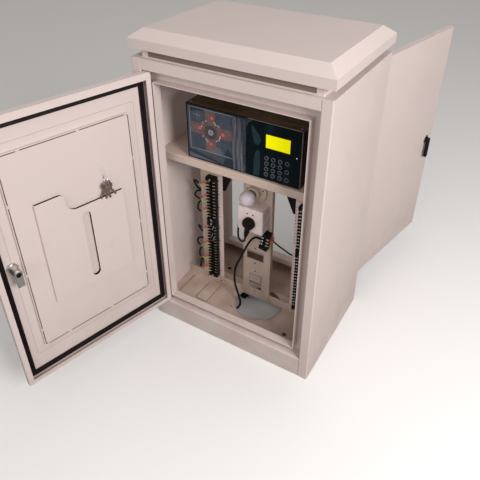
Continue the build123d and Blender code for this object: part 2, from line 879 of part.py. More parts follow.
handle_back = flange_face - collar_gap
with BuildPart() as latch_handle:
    with BuildSketch(latch_plane.offset(-cam_face - cam_thickness)):
        Circle(spindle_radius)
    extrude(amount=cam_face + cam_thickness - handle_back)
    with BuildSketch(latch_plane.offset(-handle_back)):
        Circle(handle_boss_radius)
    extrude(amount=handle_standoff)
    with BuildSketch(latch_plane.offset(handle_standoff - handle_back)):
        with Locations((0, -handle_length / 2 + handle_width / 2)):
            SlotOverall(handle_length, handle_width, rotation=90)
    extrude(amount=handle_thickness)
    fillet(latch_handle.faces().sort_by(Axis.Y)[0].edges(), handle_edge)
save(hang_front(latch_handle.part), "front_latch_handle")
save(hang_rear(latch_handle.part), "rear_latch_handle")

with BuildPart() as latch_cam:
    with BuildSketch(latch_plane.offset(-cam_face - cam_thickness)):
        with Locations((0, -cam_length / 2 + cam_width / 2)):
            Rectangle(cam_width, cam_length)
        Circle(spindle_radius, mode=Mode.SUBTRACT)
    extrude(amount=cam_thickness)
save(hang_front(latch_cam.part), "front_latch_cam")
save(hang_rear(latch_cam.part), "rear_latch_cam")


# Lamp on the centre plate: holder with a bored neck, screw cap and frosted bulb
lamp_origin = (lamp_x, plate_face, lamp_z)
lamp_plane = Plane(lamp_origin, x_dir=(1, 0, 0), z_dir=(0, 0, 1))
lamp_axis = Axis(lamp_origin, (0, 1, 0))
bulb_neck_end = bulb_reach - (bulb_radius**2 - bulb_neck_radius**2) ** 0.5
holder_outline = [
    (0, 0),
    (lamp_base_radius, 0),
    (lamp_base_radius, -holder_step + holder_rim),
    (lamp_base_radius - holder_bevel, -holder_step),
    (holder_neck_radius, -holder_step),
    (holder_neck_radius - holder_taper, -holder_height),
    (holder_bore, -holder_height),
    (holder_bore, -holder_floor),
    (0, -holder_floor),
]
with BuildPart() as lamp_holder:
    with BuildSketch(lamp_plane):
        with BuildLine():
            Polyline(*holder_outline, close=True)
        make_face()
    revolve(axis=lamp_axis)
save(lamp_holder.part, "lamp_holder")
with BuildPart() as lamp_bulb:
    with BuildSketch(lamp_plane):
        with BuildLine():
            neck = Polyline((0, -holder_floor), (bulb_neck_radius, -holder_floor), (bulb_neck_radius, -bulb_neck_end))
            globe = ThreePointArc(neck @ 1, (bulb_radius, -bulb_reach), (0, -bulb_reach - bulb_radius))
            Line(globe @ 1, neck @ 0)
        make_face()
    revolve(axis=lamp_axis)
save(lamp_bulb.part, "lamp_bulb")

# Wall socket below the lamp: surface box, faceplate with pin slots, and the plug in it
faceplate_back = plate_face - socket_box_depth
faceplate_front = faceplate_back - faceplate_thickness
with BuildPart() as socket_box:
    with BuildSketch(Plane.XZ.offset(-plate_face)):
        with Locations((0, socket_z)):
            RectangleRounded(socket_size, socket_size, socket_corner)
    extrude(amount=socket_box_depth)
save(socket_box.part, "socket_box")
with BuildPart() as socket_faceplate:
    with BuildSketch(Plane.XZ.offset(-faceplate_back)):
        with Locations((0, socket_z)):
            RectangleRounded(socket_size, socket_size, socket_corner)
    extrude(amount=faceplate_thickness)
    fillet(socket_faceplate.faces().sort_by(Axis.Y)[0].edges(), faceplate_edge)
    with BuildSketch(Plane.XZ.offset(-faceplate_front)):
        with Locations((0, socket_z + pin_slot_rise)):
            with GridLocations(pin_slot_pitch, 0, 2, 1):
                Rectangle(pin_slot_width, pin_slot_height)
    extrude(amount=-pin_slot_depth, mode=Mode.SUBTRACT)
save(socket_faceplate.part, "socket_faceplate")
boot_top = plug_z - plug_radius / 2
boot_y = faceplate_front - plug_depth / 2
with BuildPart() as socket_plug:
    with BuildSketch(Plane.XZ.offset(-faceplate_front)):
        with Locations((plug_x, plug_z)):
            Circle(plug_radius)
    extrude(amount=plug_depth)
    fillet(socket_plug.faces().sort_by(Axis.Y)[0].edges(), plug_edge)
    with BuildSketch(Plane((plug_x, boot_y, boot_top), z_dir=(0, 0, -1))):
        Circle(boot_radius)
    with BuildSketch(Plane((plug_x, boot_y, boot_top - boot_length), z_dir=(0, 0, -1))):
        Circle(boot_tip_radius)
    loft()
save(socket_plug.part, "socket_plug")

# Circuit breaker on the rail behind the lower window
breaker_top = lower_window[3] + lower_window[1] / 2 - breaker_gap
with BuildPart() as circuit_breaker:
    with BuildSketch(Plane.XZ.offset(-din_back + din_rail_depth)):
        with Locations((lower_window[2], breaker_top)):
            Rectangle(
                lower_window[0] - 2 * breaker_gap, breaker_height, align=(Align.CENTER, Align.MAX)
            )
    extrude(amount=din_back - din_rail_depth - plate_face + breaker_proud)
save(circuit_breaker.part, "circuit_breaker")

# Junction block fixed askew on the centre plate, three poles between two solid ends
junction_turn = radians(junction_tilt)
junction_plane = Plane(
    (junction_x, plate_face, junction_z),
    x_dir=(cos(junction_turn), 0, -sin(junction_turn)),
    z_dir=(0, -1, 0),
)
with BuildPart() as junction_block:
    with BuildSketch(junction_plane):
        Rectangle(junction_width, junction_length)
    extrude(amount=junction_depth)
    with BuildSketch(junction_plane.offset(junction_depth)):
        with GridLocations(junction_width - junction_well_width, junction_pitch, 2, junction_poles):
            Rectangle(junction_well_width, junction_pitch - fin_thickness)
    extrude(amount=-junction_well_depth, mode=Mode.SUBTRACT)
save(junction_block.part, "junction_block")


def cord_tube(points, diameter, name):
    """Return a cord as straight runs joined by arcs as large as the runs allow."""
    places = [Vector(*point) for point in points]
    runs = [after - before for before, after in zip(places, places[1:])]
    radii = []
    for run, following in zip(runs, runs[1:]):
        half_turn = radians(run.get_angle(following) / 2)
        radii.append(arc_share * min(run.length, following.length) / tan(half_turn))
    print(name, "arc radii", [round(radius) for radius in radii])
    with BuildPart() as cord:
        with BuildLine() as route:
            FilletPolyline(*places, radius=radii)
        with BuildSketch(Plane(places[0], z_dir=runs[0])):
            Circle(diameter / 2)
        sweep()
    length = route.wires()[0].length
    expected = pi * diameter**2 / 4 * length
    print(name, "length", round(length), "volume against section", round(cord.part.volume / expected, 4))
    return cord.part


# Supply lead from the junction block, drooping to the cable hole and on under the floor
coil_entry_y = coil_y - coil_outer + lead_diameter / 2
coil_exit_y = coil_y + coil_outer - lead_diameter / 2
lead_rest = lead_diameter / 2 + lead_lift
lead_start = junction_plane.from_local_coords((-junction_width / 2, 0, junction_depth / 2))
supply_route = [
    lead_start,
    lead_start - junction_plane.x_dir * lead_exit_run,
    (-7, -32, 313),
    (-17, -40, 297),
    (-26, -47, 272),
    (-35, -51, 247),
    (-44, -56, 224),
    (-53, -61, 198),
    (-56, -66, 166),
    (-52, -70, 132),
    (-42, -70, 100),
    (-33, -69, 72),
    (-30, -70, 46),
    (-40, -72, 24),
    (-58, -74, 10),
    (-78, coil_entry_y, lead_rest),
    (coil_x + coil_lead_in, coil_entry_y, lead_rest),
]
save(cord_tube(supply_route, lead_diameter, "supply_lead"), "supply_lead")
with BuildPart() as supply_coil:
    with BuildSketch():
        with Locations((coil_x, coil_y)):
            Circle(coil_outer)
            Circle(coil_inner, mode=Mode.SUBTRACT)
    extrude(amount=coil_height)
    with BuildSketch(Plane((coil_x, coil_entry_y, lead_rest), z_dir=(1, 0, 0))):
        Circle(lead_diameter / 2)
    extrude(amount=coil_lead_in)
    with BuildSketch(Plane((coil_x, coil_exit_y, supply_plug_height / 2), z_dir=(1, 0, 0))):
        Circle(lead_diameter / 2)
    extrude(amount=coil_lead_out)
save(supply_coil.part, "supply_coil")
with BuildPart() as supply_plug:
    with BuildSketch():
        with Locations((coil_x + coil_lead_out, coil_exit_y)):
            Rectangle(supply_plug_length, supply_plug_width, align=(Align.MIN, Align.CENTER))
    extrude(amount=supply_plug_height)
    fillet(supply_plug.edges().filter_by(Axis.Z), supply_plug_corner)
save(supply_plug.part, "supply_plug")

# Lead from the socket's plug, round the plate, up behind the shelf to the controller
inlet_x = inlet_inset - unit_half
inlet_y = case_front + case_depth
inlet_end = inlet_y + inlet_depth
with BuildPart() as controller_inlet:
    with BuildSketch(Plane.XZ.offset(-inlet_y)):
        with Locations((inlet_x, inlet_z)):
            Rectangle(inlet_width, inlet_height)
    extrude(amount=-inlet_depth)
save(controller_inlet.part, "controller_inlet")
plug_route = [
    (plug_x, boot_y, boot_top - boot_length),
    (plug_x, boot_y, boot_top - boot_length - plug_exit_run),
    (-10, -73, 318),
    (-26, -69, 313),
    (-41, -61, 316),
    (-51, -50, 327),
    (-57, -36, 350),
    (-61, -18, 374),
    (-60, 4, 400),
    (-54, 22, 432),
    (-50, 38, 470),
    (-50, 56, 512),
    (-52, 76, 556),
    (-56, 88, 600),
    (-62, 86, 640),
    (-72, 70, 668),
    (-84, 44, 681),
    (-93, 14, 681),
    (inlet_x, -12, inlet_z),
    (inlet_x, inlet_end, inlet_z),
]
save(cord_tube(plug_route, plug_lead_diameter, "plug_lead"), "plug_lead")

# Two wires from the junction block into a lead that ends behind the right-hand terminal rail
def on_junction(points):
    """Return points of the junction block's plane at the level of its wires."""
    return [junction_plane.from_local_coords((across, along, wire_depth)) for across, along in points]


half_junction = junction_width / 2
red_run = on_junction(((half_junction, junction_pitch), (15.5, junction_pitch), (16, 23.4), (27.4, 19.6)))
orange_run = on_junction(((half_junction, -junction_pitch), (20, -junction_pitch), (20, 19.4), (26.6, 17.2)))
with BuildPart() as link_wires:
    add(cord_tube(red_run, wire_diameter, "red wire"))
    add(cord_tube(orange_run, wire_diameter, "orange wire"))
save(link_wires.part, "link_wires")
link_start = (red_run[-1] + orange_run[-1]) / 2
link_heading = (red_run[-1] - red_run[-2]).normalized()
link_route = [
    link_start,
    link_start + link_heading * link_exit_run,
    (88, -21, 306),
    (101, -11, 290),
    (115, -3, 276),
    (129, 8, 266),
    (142, 14, 259),
    (154, 11, 252),
    (160, 0, 248),
    (160, bar_face, 248),
]
save(cord_tube(link_route, link_diameter, "link_lead"), "link_lead")

# Seven groups of wires to the left-hand terminals: a sleeve comes round the rail and opens into its wires.
# The steps are measured from the block's middle on the face of its rail, at the height where the wires part
first_pole = block_end + pole_pitch / 2
pole_heights = [foot + first_pole + pole_pitch * place for foot in terminal_feet for place in range(block_poles)]
wire_groups = ((23, 3), (19, 3), (15, 3), (11, 3), (7, 3), (3, 2), (0, 1))
sleeve_steps = (
    (1, bar_face - plate_face, sleeve_rise),
    (1, 22, sleeve_rise),
    (-15, 36, sleeve_rise),
    (-37, 34, 12),
    (-52, 18, 8),
    (-57, -2, 3),
    (-53, -18, 0),
    (-39, -25, 0),
)
tail_column = -(terminal_width + ridge_width) / 4
with BuildPart() as terminal_wires:
    for top_pole, tails in wire_groups:
        fan = Vector(-terminal_x, plate_face, pole_heights[top_pole] - pole_pitch / 2)
        add(cord_tube([fan + Vector(*step) for step in sleeve_steps], sleeve_diameter, "sleeve"))
        for place in range(tails):
            tail = Vector(0, 0, tail_pitch * (1 - place))
            pole = Vector(0, 0, pole_heights[top_pole - place] - fan.Z)
            tail_steps = (
                Vector(-39, -25, 0) + tail,
                Vector(-33, -28, 0) + tail,
                Vector(-21, -27, 0) + (tail + pole) / 2,
                Vector(tail_column, -22, 0) + pole,
                Vector(tail_column, -terminal_base, 0) + pole,
            )
            add(cord_tube([fan + step for step in tail_steps], wire_diameter, "tail"))
save(terminal_wires.part, "terminal_wires")
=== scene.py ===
"""Traffic signal controller cabinet: finishes, fittings, wiring, camera and light.

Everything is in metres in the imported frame: +X to the cabinet's right as seen from the front,
+Y to the rear, +Z up. New pieces are shells of numpy points on a grid of two parameters, worked out in
millimetres, as the cabinet's drawing has them, and put into metres when they become a piece.
"""
import json
import math

import bpy
import numpy as np
from mathutils import Matrix, Vector


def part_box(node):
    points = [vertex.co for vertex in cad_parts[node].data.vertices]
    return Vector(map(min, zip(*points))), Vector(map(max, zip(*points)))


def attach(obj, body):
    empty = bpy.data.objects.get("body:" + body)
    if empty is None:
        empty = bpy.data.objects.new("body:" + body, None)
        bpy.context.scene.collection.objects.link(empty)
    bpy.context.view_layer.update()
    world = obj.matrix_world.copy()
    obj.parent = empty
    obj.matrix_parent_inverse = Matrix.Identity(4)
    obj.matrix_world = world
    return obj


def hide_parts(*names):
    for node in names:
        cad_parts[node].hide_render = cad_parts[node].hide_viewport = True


bl_info = {
    "name": "Traffic signal controller cabinet",
    "version": (1, 0, 0),
    "blender": (4, 5, 0),
    "location": "3D View > Sidebar > Cabinet",
    "description": "Dresses the packed cabinet with its finishes, fittings and wiring",
    "category": "Object",
}

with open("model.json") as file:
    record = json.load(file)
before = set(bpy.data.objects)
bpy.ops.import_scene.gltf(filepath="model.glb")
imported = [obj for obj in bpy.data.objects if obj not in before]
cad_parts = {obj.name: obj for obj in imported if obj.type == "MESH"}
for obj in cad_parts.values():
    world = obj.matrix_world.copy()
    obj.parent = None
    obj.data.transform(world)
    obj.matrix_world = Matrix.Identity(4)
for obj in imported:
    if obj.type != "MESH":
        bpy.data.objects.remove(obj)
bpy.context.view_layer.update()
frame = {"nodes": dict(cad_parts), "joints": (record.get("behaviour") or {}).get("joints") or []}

MM = 0.001
RIGHT, FRONT, BACK, UP = (1.0, 0.0, 0.0), (0.0, -1.0, 0.0), (0.0, 1.0, 0.0), (0.0, 0.0, 1.0)
SIDES = (-1, 1)
joints = {joint["name"]: joint for joint in frame["joints"]}


# Shells: a shell is a pair of points (n, 3), in millimetres, and faces (lists of point numbers)
def grid_faces(rings, around, closed_along=False, closed_around=True):
    """Quads between neighbouring rings and neighbouring points round each ring."""
    ring, spot = np.meshgrid(
        np.arange(rings if closed_along else rings - 1),
        np.arange(around if closed_around else around - 1),
        indexing="ij",
    )
    next_ring, next_spot = (ring + 1) % rings, (spot + 1) % around
    corners = [(ring, spot), (ring, next_spot), (next_ring, next_spot), (next_ring, spot)]
    return np.stack([line * around + place for line, place in corners], axis=-1).reshape(-1, 4).tolist()


def outward(points, faces):
    """The same closed shell, its faces turned round if their signed volume, summed over triangles, is negative."""
    centred = points - points.mean(axis=0)
    total = 0.0
    for size in {len(face) for face in faces}:
        corner = centred[np.array([face for face in faces if len(face) == size])]
        for step in range(1, size - 1):
            total += np.einsum("ij,ij->", corner[:, 0], np.cross(corner[:, step], corner[:, step + 1]))
    return points, faces if total >= 0 else [face[::-1] for face in faces]


def ringed(rings, closed_along=False):
    """A shell through rings (m, n, 3), closed round each ring and capped at both ends."""
    count, around = rings.shape[:2]
    faces = grid_faces(count, around, closed_along)
    if not closed_along:
        faces += [list(range(around))[::-1], list(range((count - 1) * around, count * around))]
    return outward(rings.reshape(-1, 3), faces)


def turned(profile, origin, segments, axis=FRONT, closed=False):
    """A profile of (radius, height) points turned about an axis: radius times (cos, sin), plus height.

    A closed profile gives a ring.
    """
    profile = np.asarray(profile, float)
    side = np.cross(axis, UP if abs(axis[2]) < 0.9 else RIGHT)
    turn = np.linspace(0, 2 * np.pi, segments, endpoint=False)[:, None]
    spoke = np.cos(turn) * side + np.sin(turn) * np.cross(axis, side)
    rings = profile[:, 0, None, None] * spoke + profile[:, 1, None, None] * np.asarray(axis)
    return ringed(rings + np.asarray(origin, float), closed_along=closed)


def ring_of(inner, outer, thickness, origin, segments=28):
    """A flat ring that faces the front: a rectangle turned about its axis."""
    return turned([(outer, 0), (outer, thickness), (inner, thickness), (inner, 0)], origin, segments, closed=True)


def circle(radius, points):
    """Points round a circle."""
    turn = np.linspace(0, 2 * np.pi, points, endpoint=False)
    return radius * np.stack([np.cos(turn), np.sin(turn)], axis=-1)


def rounded_outline(width, height, radius, corner_points=6):
    """Points round a rectangle whose corners are quarter circles of this radius."""
    radius = max(min(radius, width / 2 - 1e-6, height / 2 - 1e-6), 1e-6)
    turn = np.linspace(0, np.pi / 2, corner_points)
    turn = np.repeat(np.arange(4) * np.pi / 2, corner_points) + np.tile(turn, 4)
    x = np.repeat([1, -1, -1, 1], corner_points) * (width / 2 - radius) + radius * np.cos(turn)
    y = np.repeat([1, 1, -1, -1], corner_points) * (height / 2 - radius) + radius * np.sin(turn)
    return np.stack([x, y], axis=-1)


def basis(origin, normal, up=UP):
    """A plane with this outward normal: its origin and three unit axes (across, up, out)."""
    out = np.asarray(normal, float) / np.linalg.norm(normal)
    across = np.cross(up, out)
    across /= np.linalg.norm(across)
    return np.asarray(origin, float), across, np.cross(out, across), out


def facing(x, y, z):
    """The plane that faces the front at this point: across is +X and up is +Z."""
    return basis((x, y, z), FRONT)


def on_plane(outline, plane, rise=0.0):
    """Points of a flat outline put on a plane and raised along its normal."""
    origin, across, up, out = plane
    outline = np.asarray(outline, float)
    return origin + outline[:, :1] * across + outline[:, 1:2] * up + rise * out


def plate(width, height, thickness, corner, edge, plane):
    """A plate on a plane: rounded outlines stacked along its normal, inset along both rims by quarter circles."""
    turn = np.linspace(0, np.pi / 2, 4)
    inset, rise = edge * (1 - np.sin(turn)), edge * (1 - np.cos(turn))
    steps = [*zip(inset, rise), *zip(inset[::-1], thickness - rise[::-1])]
    return ringed(np.array([
        on_plane(rounded_outline(width - 2 * step, height - 2 * step, corner - step), plane, level)
        for step, level in steps
    ]))


def flat_shape(outline, thickness, plane):
    """A flat outline given a thickness along its plane's normal."""
    return ringed(np.array([on_plane(outline, plane), on_plane(outline, plane, thickness)]))


def pierced(outline, hole, thickness, plane):
    """A flat shape with one hole: outer and inner outlines joined by rings, front, rim, back and bore."""
    lines = ((outline, 0), (outline, thickness), (hole, thickness), (hole, 0))
    rings = np.array([on_plane(line, plane, rise) for line, rise in lines])
    return ringed(rings.transpose(1, 0, 2), closed_along=True)


def smooth_line(points):
    """Points along a uniform cubic spline that passes through each given point, seven to a span."""
    points = np.asarray(points, float)
    padded = np.vstack([2 * points[0] - points[1], points, 2 * points[-1] - points[-2]])
    step = np.linspace(0, 1, 7, endpoint=False)[:, None]
    spans = []
    for a, b, c, d in zip(padded, padded[1:], padded[2:], padded[3:]):
        cubic = (2 * a - 5 * b + 4 * c - d) * step**2 + (3 * b - a - 3 * c + d) * step**3
        spans.append(0.5 * (2 * b + (c - a) * step + cubic))
    return np.vstack(spans + [points[-1:]])


def neighbours(path, closed):
    """Unit steps from each point of a path to the next one and from the one before, and the path as an array."""
    path = np.asarray(path, float)
    ahead = np.roll(path, -1, axis=0) - path
    behind = path - np.roll(path, 1, axis=0)
    if not closed:
        ahead[-1], behind[0] = behind[-1], ahead[0]
    lengths = [np.linalg.norm(step, axis=1)[:, None] for step in (ahead, behind)]
    return ahead / lengths[0], behind / lengths[1], path


def carried(profile, path, closed=False, swell=1.0):
    """A closed profile (n, 2) carried along a path on two normals that move without twist.

    At each point the last normal loses its part along the path. The profile grows by the swell at that point.
    """
    ahead, behind, path = neighbours(path, closed)
    tangent = ahead + behind
    tangent /= np.linalg.norm(tangent, axis=1)[:, None]
    current = np.cross(tangent[0], UP)
    if np.linalg.norm(current) < 0.1:
        current = np.cross(tangent[0], RIGHT)
    current /= np.linalg.norm(current)
    side = np.empty_like(path)
    for index, direction in enumerate(tangent):
        current = current - direction * np.dot(current, direction)
        current /= np.linalg.norm(current)
        side[index] = current
    other = np.cross(tangent, side)
    profile = np.asarray(profile, float)[None]
    spokes = profile[..., :1] * side[:, None] + profile[..., 1:] * other[:, None]
    return ringed(path[:, None] + np.reshape(swell, (-1, 1, 1)) * spokes, closed_along=closed)


def mitred(profile, path, out):
    """A profile (n, 2) carried round a closed flat path, its first axis pointing inwards, mitred at corners."""
    ahead, behind, path = neighbours(path, True)
    inward = np.cross(out, ahead)
    corner = inward + np.cross(out, behind)
    corner /= np.einsum("ij,ij->i", corner, inward)[:, None]
    profile = np.asarray(profile, float)[None]
    rings = path[:, None] + profile[..., :1] * corner[:, None] + profile[..., 1:] * np.asarray(out)
    return ringed(rings, closed_along=True)


def frame_line(width, height, thickness, line, plane, corner=0.8):
    """A flat line carried round a rectangle."""
    profile = [[0, 0], [line, 0], [line, thickness], [0, thickness]]
    return mitred(profile, on_plane(rounded_outline(width, height, corner, 3), plane), plane[3])


def wire(points, radius, around=8):
    """A round wire carried along a smooth line through these points."""
    return carried(circle(radius, around), smooth_line(points))


def screw_head(place, radius, height, turn=0.4, cross=True, normal=FRONT):
    """A domed screw head on a grid of rings and angles.

    The dome falls with the square of the distance from the middle. The driver's slot is the product of a
    smooth step across it and one along it, and a cross has a second one square to the first.
    """
    origin, across, up, out = basis(place, normal, UP if abs(normal[2]) < 0.9 else BACK)
    angle = np.linspace(0, 2 * np.pi, 20, endpoint=False)
    share = np.array([1.0, 1.0, 0.95, 0.80, 0.64, 0.48, 0.34, 0.20, 0.04])
    rise = np.append(0.0, 0.6 + 0.4 * (1 - share[1:] ** 2))
    u, v = share[:, None] * np.cos(angle), share[:, None] * np.sin(angle)
    reach, width, steepness, depth = 0.66, 0.17, 9, 0.42
    slot = 0.0
    for along, aside in ((u, v), (v, u)) if cross else ((u, v),):
        inside_ends = np.clip(steepness * (reach - abs(along)) + 0.5, 0, 1)
        slot = np.maximum(slot, inside_ends * np.clip(steepness * (width - abs(aside)) + 0.5, 0, 1))
    level = height * (rise[:, None] - depth * slot)
    level[0] = 0.0
    x = math.cos(turn) * u - math.sin(turn) * v
    y = math.sin(turn) * u + math.cos(turn) * v
    return ringed(origin + radius * (x[..., None] * across + y[..., None] * up) + level[..., None] * out)


def joined(shells):
    """Several shells in one, their faces renumbered."""
    points, faces, start = [], [], 0
    for some_points, some_faces in shells:
        points.append(some_points)
        faces += [[corner + start for corner in face] for face in some_faces]
        start += len(some_points)
    return np.vstack(points), faces


def copies(shell, offsets):
    """The same shell at each offset."""
    points, faces = shell
    return [(points + np.asarray(offset, float), faces) for offset in offsets]


def hung(points, door):
    """Points of a door drawn shut at the front, hinge on the left, moved to the front or the rear door.

    They turn about the door's hinge to the angle at which it stands, the joint's upper limit.
    """
    if door == "rear_door":
        points = points * (-1.0, -1.0, 1.0)
    joint = joints[door + "_hinge"]
    angle = math.radians(joint["range_deg"][1])
    cos, sin = math.cos(angle), math.sin(angle)
    pivot = np.array(joint["pos_m"], float)
    return (points - pivot) @ np.array([[cos, -sin, 0], [sin, cos, 0], [0, 0, 1]]) + pivot


# Pieces: edges sharper than this angle stay sharp, and a table names the record's kind of steel for each metal finish
SHARP_ANGLE = math.radians(35)
METAL_SLOTS = {"zinc": "plated_steel", "bright_steel": "plated_steel", "dark_steel": "plated_steel",
               "key_bronze": "plated_steel", "powder_coat": "painted_steel", "powder_coat_inside": "painted_steel"}


def linked(name, data):
    """A new object in the scene."""
    obj = bpy.data.objects.new(name, data)
    bpy.context.scene.collection.objects.link(obj)
    return obj


def piece(name, shells, look, replaces=(), body="cabinet", smooth=True):
    """Put one shell or a list of them into a mesh object that rides on a body, with the finish of this name."""
    points, faces = joined(shells if isinstance(shells, list) else [shells])
    points = points * MM
    if body != "cabinet":
        points = hung(points, body)
    material = finish(look)
    mesh = bpy.data.meshes.new(name)
    mesh.from_pydata(points.tolist(), [], faces)
    mesh.update()
    mesh.materials.append(material)
    mesh.polygons.foreach_set("use_smooth", np.full(len(mesh.polygons), smooth))
    if smooth:
        mesh.set_sharp_from_angle(angle=SHARP_ANGLE)
    obj = linked(name, mesh)
    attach(obj, body)
    slot = material.name.removesuffix("_finish")
    slot = METAL_SLOTS.get(slot, slot)
    if replaces:
        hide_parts(*replaces)
    return obj


def figures(name, lines, size, pitch, plane, look):
    """Figures in a column: flat text made a mesh, then set on its plane."""
    data = bpy.data.curves.new(name, "FONT")
    data.body = "\n".join(lines)
    data.size = size
    data.space_line = pitch / size
    data.align_x = "CENTER"
    data.extrude = 0.075
    data.resolution_u = 3
    writing = linked(name, data)
    graph = bpy.context.evaluated_depsgraph_get()
    mesh = bpy.data.meshes.new_from_object(writing.evaluated_get(graph))
    bpy.data.objects.remove(writing)
    flat = np.empty(len(mesh.vertices) * 3)
    mesh.vertices.foreach_get("co", flat)
    flat = flat.reshape(-1, 3)
    faces = [list(polygon.vertices) for polygon in mesh.polygons]
    piece(name, (on_plane(flat, plane, flat[:, 2:]), faces), look, smooth=False)


def cord(name, route, diameter, replaces):
    """A round cord: one NURBS spline whose control points are the route's, in millimetres."""
    data = bpy.data.curves.new(name, "CURVE")
    data.dimensions = "3D"
    data.bevel_depth = diameter / 2 * MM
    data.bevel_resolution = 4
    data.resolution_u = 8
    data.use_fill_caps = True
    data.materials.append(finish("black_cable"))
    spline = data.splines.new("NURBS")
    spline.points.add(len(route) - 1)
    places = np.column_stack([np.asarray(route, float) * MM, np.ones(len(route))])
    spline.points.foreach_set("co", places.ravel())
    spline.order_u = 3
    spline.use_endpoint_u = True
    obj = linked(name, data)
    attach(obj, "cabinet")
    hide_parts(*replaces)
    return obj


# Finishes: nearly all of the noise lies between the two values of its range
EVEN = (1.0, 1.0, 1.0)
NOISE_RANGE = (0.3, 0.7)
made_finishes = {}


def add(tree, kind, inputs=(), **options):
    """Add a node: an input that is given a socket is linked to it, and one that is given a value holds it."""
    node = tree.nodes.new(kind)
    for option, value in options.items():
        setattr(node, option, value)
    for place, value in dict(inputs).items():
        if isinstance(value, bpy.types.NodeSocket):
            tree.links.new(value, node.inputs[place])
        else:
            node.inputs[place].default_value = value
    return node


def noise(tree, scale, detail, stretch=EVEN):
    """Noise on Object coordinates, its scale in cycles per metre along each axis."""
    place = add(tree, "ShaderNodeTexCoord").outputs["Object"]
    place = add(tree, "ShaderNodeMapping", {"Vector": place, "Scale": stretch}).outputs["Vector"]
    return add(tree, "ShaderNodeTexNoise", {"Vector": place, "Scale": scale, "Detail": detail}).outputs["Fac"]


def spread(tree, value, low, high, out_low, out_high):
    """A value from low to high stretched to another range and held there."""
    ranges = {"From Min": low, "From Max": high, "To Min": out_low, "To Max": out_high}
    return add(tree, "ShaderNodeMapRange", {"Value": value, **ranges}).outputs["Result"]


def tint(tree, amount, colour):
    """Mix another colour over the base colour by an amount that varies over the surface."""
    base = tree.nodes["Principled BSDF"].inputs["Base Color"]
    below = base.links[0].from_socket if base.links else base.default_value
    mix = add(tree, "ShaderNodeMix", {"A": below, "B": (*colour, 1.0), "Factor": amount}, data_type="RGBA")
    tree.links.new(mix.outputs["Result"], base)


def layered(name, colour, roughness, tones=(), gloss=None, grain=None, **sockets):
    """A material: plain values on the shader's own sockets, then tones, gloss and grain that follow noise.

    A tone is (scale, detail, start, end, amount, colour, stretch): a colour mixed in as the noise goes from start
    to end. Gloss is (scale, detail, lowest and highest roughness). Grain is (scale, depth in metres, strength,
    stretch) of a bump. The stretch may be left out.
    """
    material = bpy.data.materials.new(name)
    material.use_nodes = True
    tree = material.node_tree
    shader = tree.nodes["Principled BSDF"]
    shader.inputs["Base Color"].default_value = (*colour, 1.0)
    shader.inputs["Roughness"].default_value = roughness
    for socket, value in sockets.items():
        shader.inputs[socket.replace("_", " ")].default_value = value
    for scale, detail, start, end, amount, tone, *stretch in tones:
        tint(tree, spread(tree, noise(tree, scale, detail, *stretch), start, end, 0.0, amount), tone)
    if gloss:
        scale, detail, low, high = gloss
        value = spread(tree, noise(tree, scale, detail), *NOISE_RANGE, low, high)
        tree.links.new(value, shader.inputs["Roughness"])
    if grain:
        scale, depth, strength, *stretch = grain
        height = noise(tree, scale, 2.0, *stretch)
        bump = add(tree, "ShaderNodeBump", {"Height": height, "Distance": depth, "Strength": strength})
        tree.links.new(bump.outputs["Normal"], shader.inputs["Normal"])
    return material


def powder_coat(name, colour, dust):
    """Powder-coated sheet: fine orange peel, soft cloudy tone, faint rubs, dust towards the floor.

    The dust is noise times a value that falls from 1 near the floor to 0 above it.
    """
    material = layered(
        name, colour, 0.42,
        [(4.0, 4.0, 0.35, 0.75, 0.20, colour * 0.86),
         (26.0, 6.0, 0.62, 0.82, 0.16, colour * (0.70, 0.69, 0.68), (1.0, 1.0, 0.6))],
        (11.0, 4.0, 0.36, 0.52), (520.0, 0.00006, 0.5), Specular_IOR_Level=0.45,
    )
    tree = material.node_tree
    place = add(tree, "ShaderNodeTexCoord").outputs["Object"]
    height = add(tree, "ShaderNodeSeparateXYZ", {"Vector": place}).outputs["Z"]
    low = spread(tree, height, 0.05, 0.30, 1.0, 0.0)
    cloud = spread(tree, noise(tree, 18.0, 5.0), *NOISE_RANGE, 0.0, dust)
    amount = add(tree, "ShaderNodeMath", {0: low, 1: cloud}, operation="MULTIPLY").outputs["Value"]
    tint(tree, amount, colour * (0.62, 0.56, 0.48))
    return material


def moulded(name, colour, roughness):
    """Moulded plastic or rubber: fine grain in the surface, slight variation in tone and gloss."""
    paler = np.minimum(np.multiply(colour, 1.25) + 0.012, 1.0)
    return layered(
        name, colour, roughness, [(30.0, 5.0, 0.4, 0.75, 0.35, paler)],
        (60.0, 4.0, roughness * 0.85, roughness * 1.2), (900.0, 0.00003, 0.6),
        Specular_IOR_Level=0.45 if max(colour) > 0.05 else 0.15,
    )


def plated(name, colour, roughness):
    """Plated or turned metal: fine grain, patchy gloss, slight stains."""
    return layered(
        name, colour, roughness, [(70.0, 5.0, 0.5, 0.8, 0.55, np.multiply(colour, 0.62))],
        (120.0, 4.0, roughness * 0.7, roughness * 1.4), (1500.0, 0.00002, 0.5), Metallic=1.0,
    )


def printed(name, colour, roughness):
    """Ink under the overlay's matt skin, and the flat colours of painted shade, reflection and sheen: soft clouds of
    tone and hardly any gloss.
    """
    return layered(
        name, colour, roughness, [(55.0, 4.0, 0.35, 0.75, 0.7, np.multiply(colour, 0.55))],
        (80.0, 3.0, roughness * 0.8, roughness * 1.2), (700.0, 0.00002, 0.4), Specular_IOR_Level=0.12,
    )


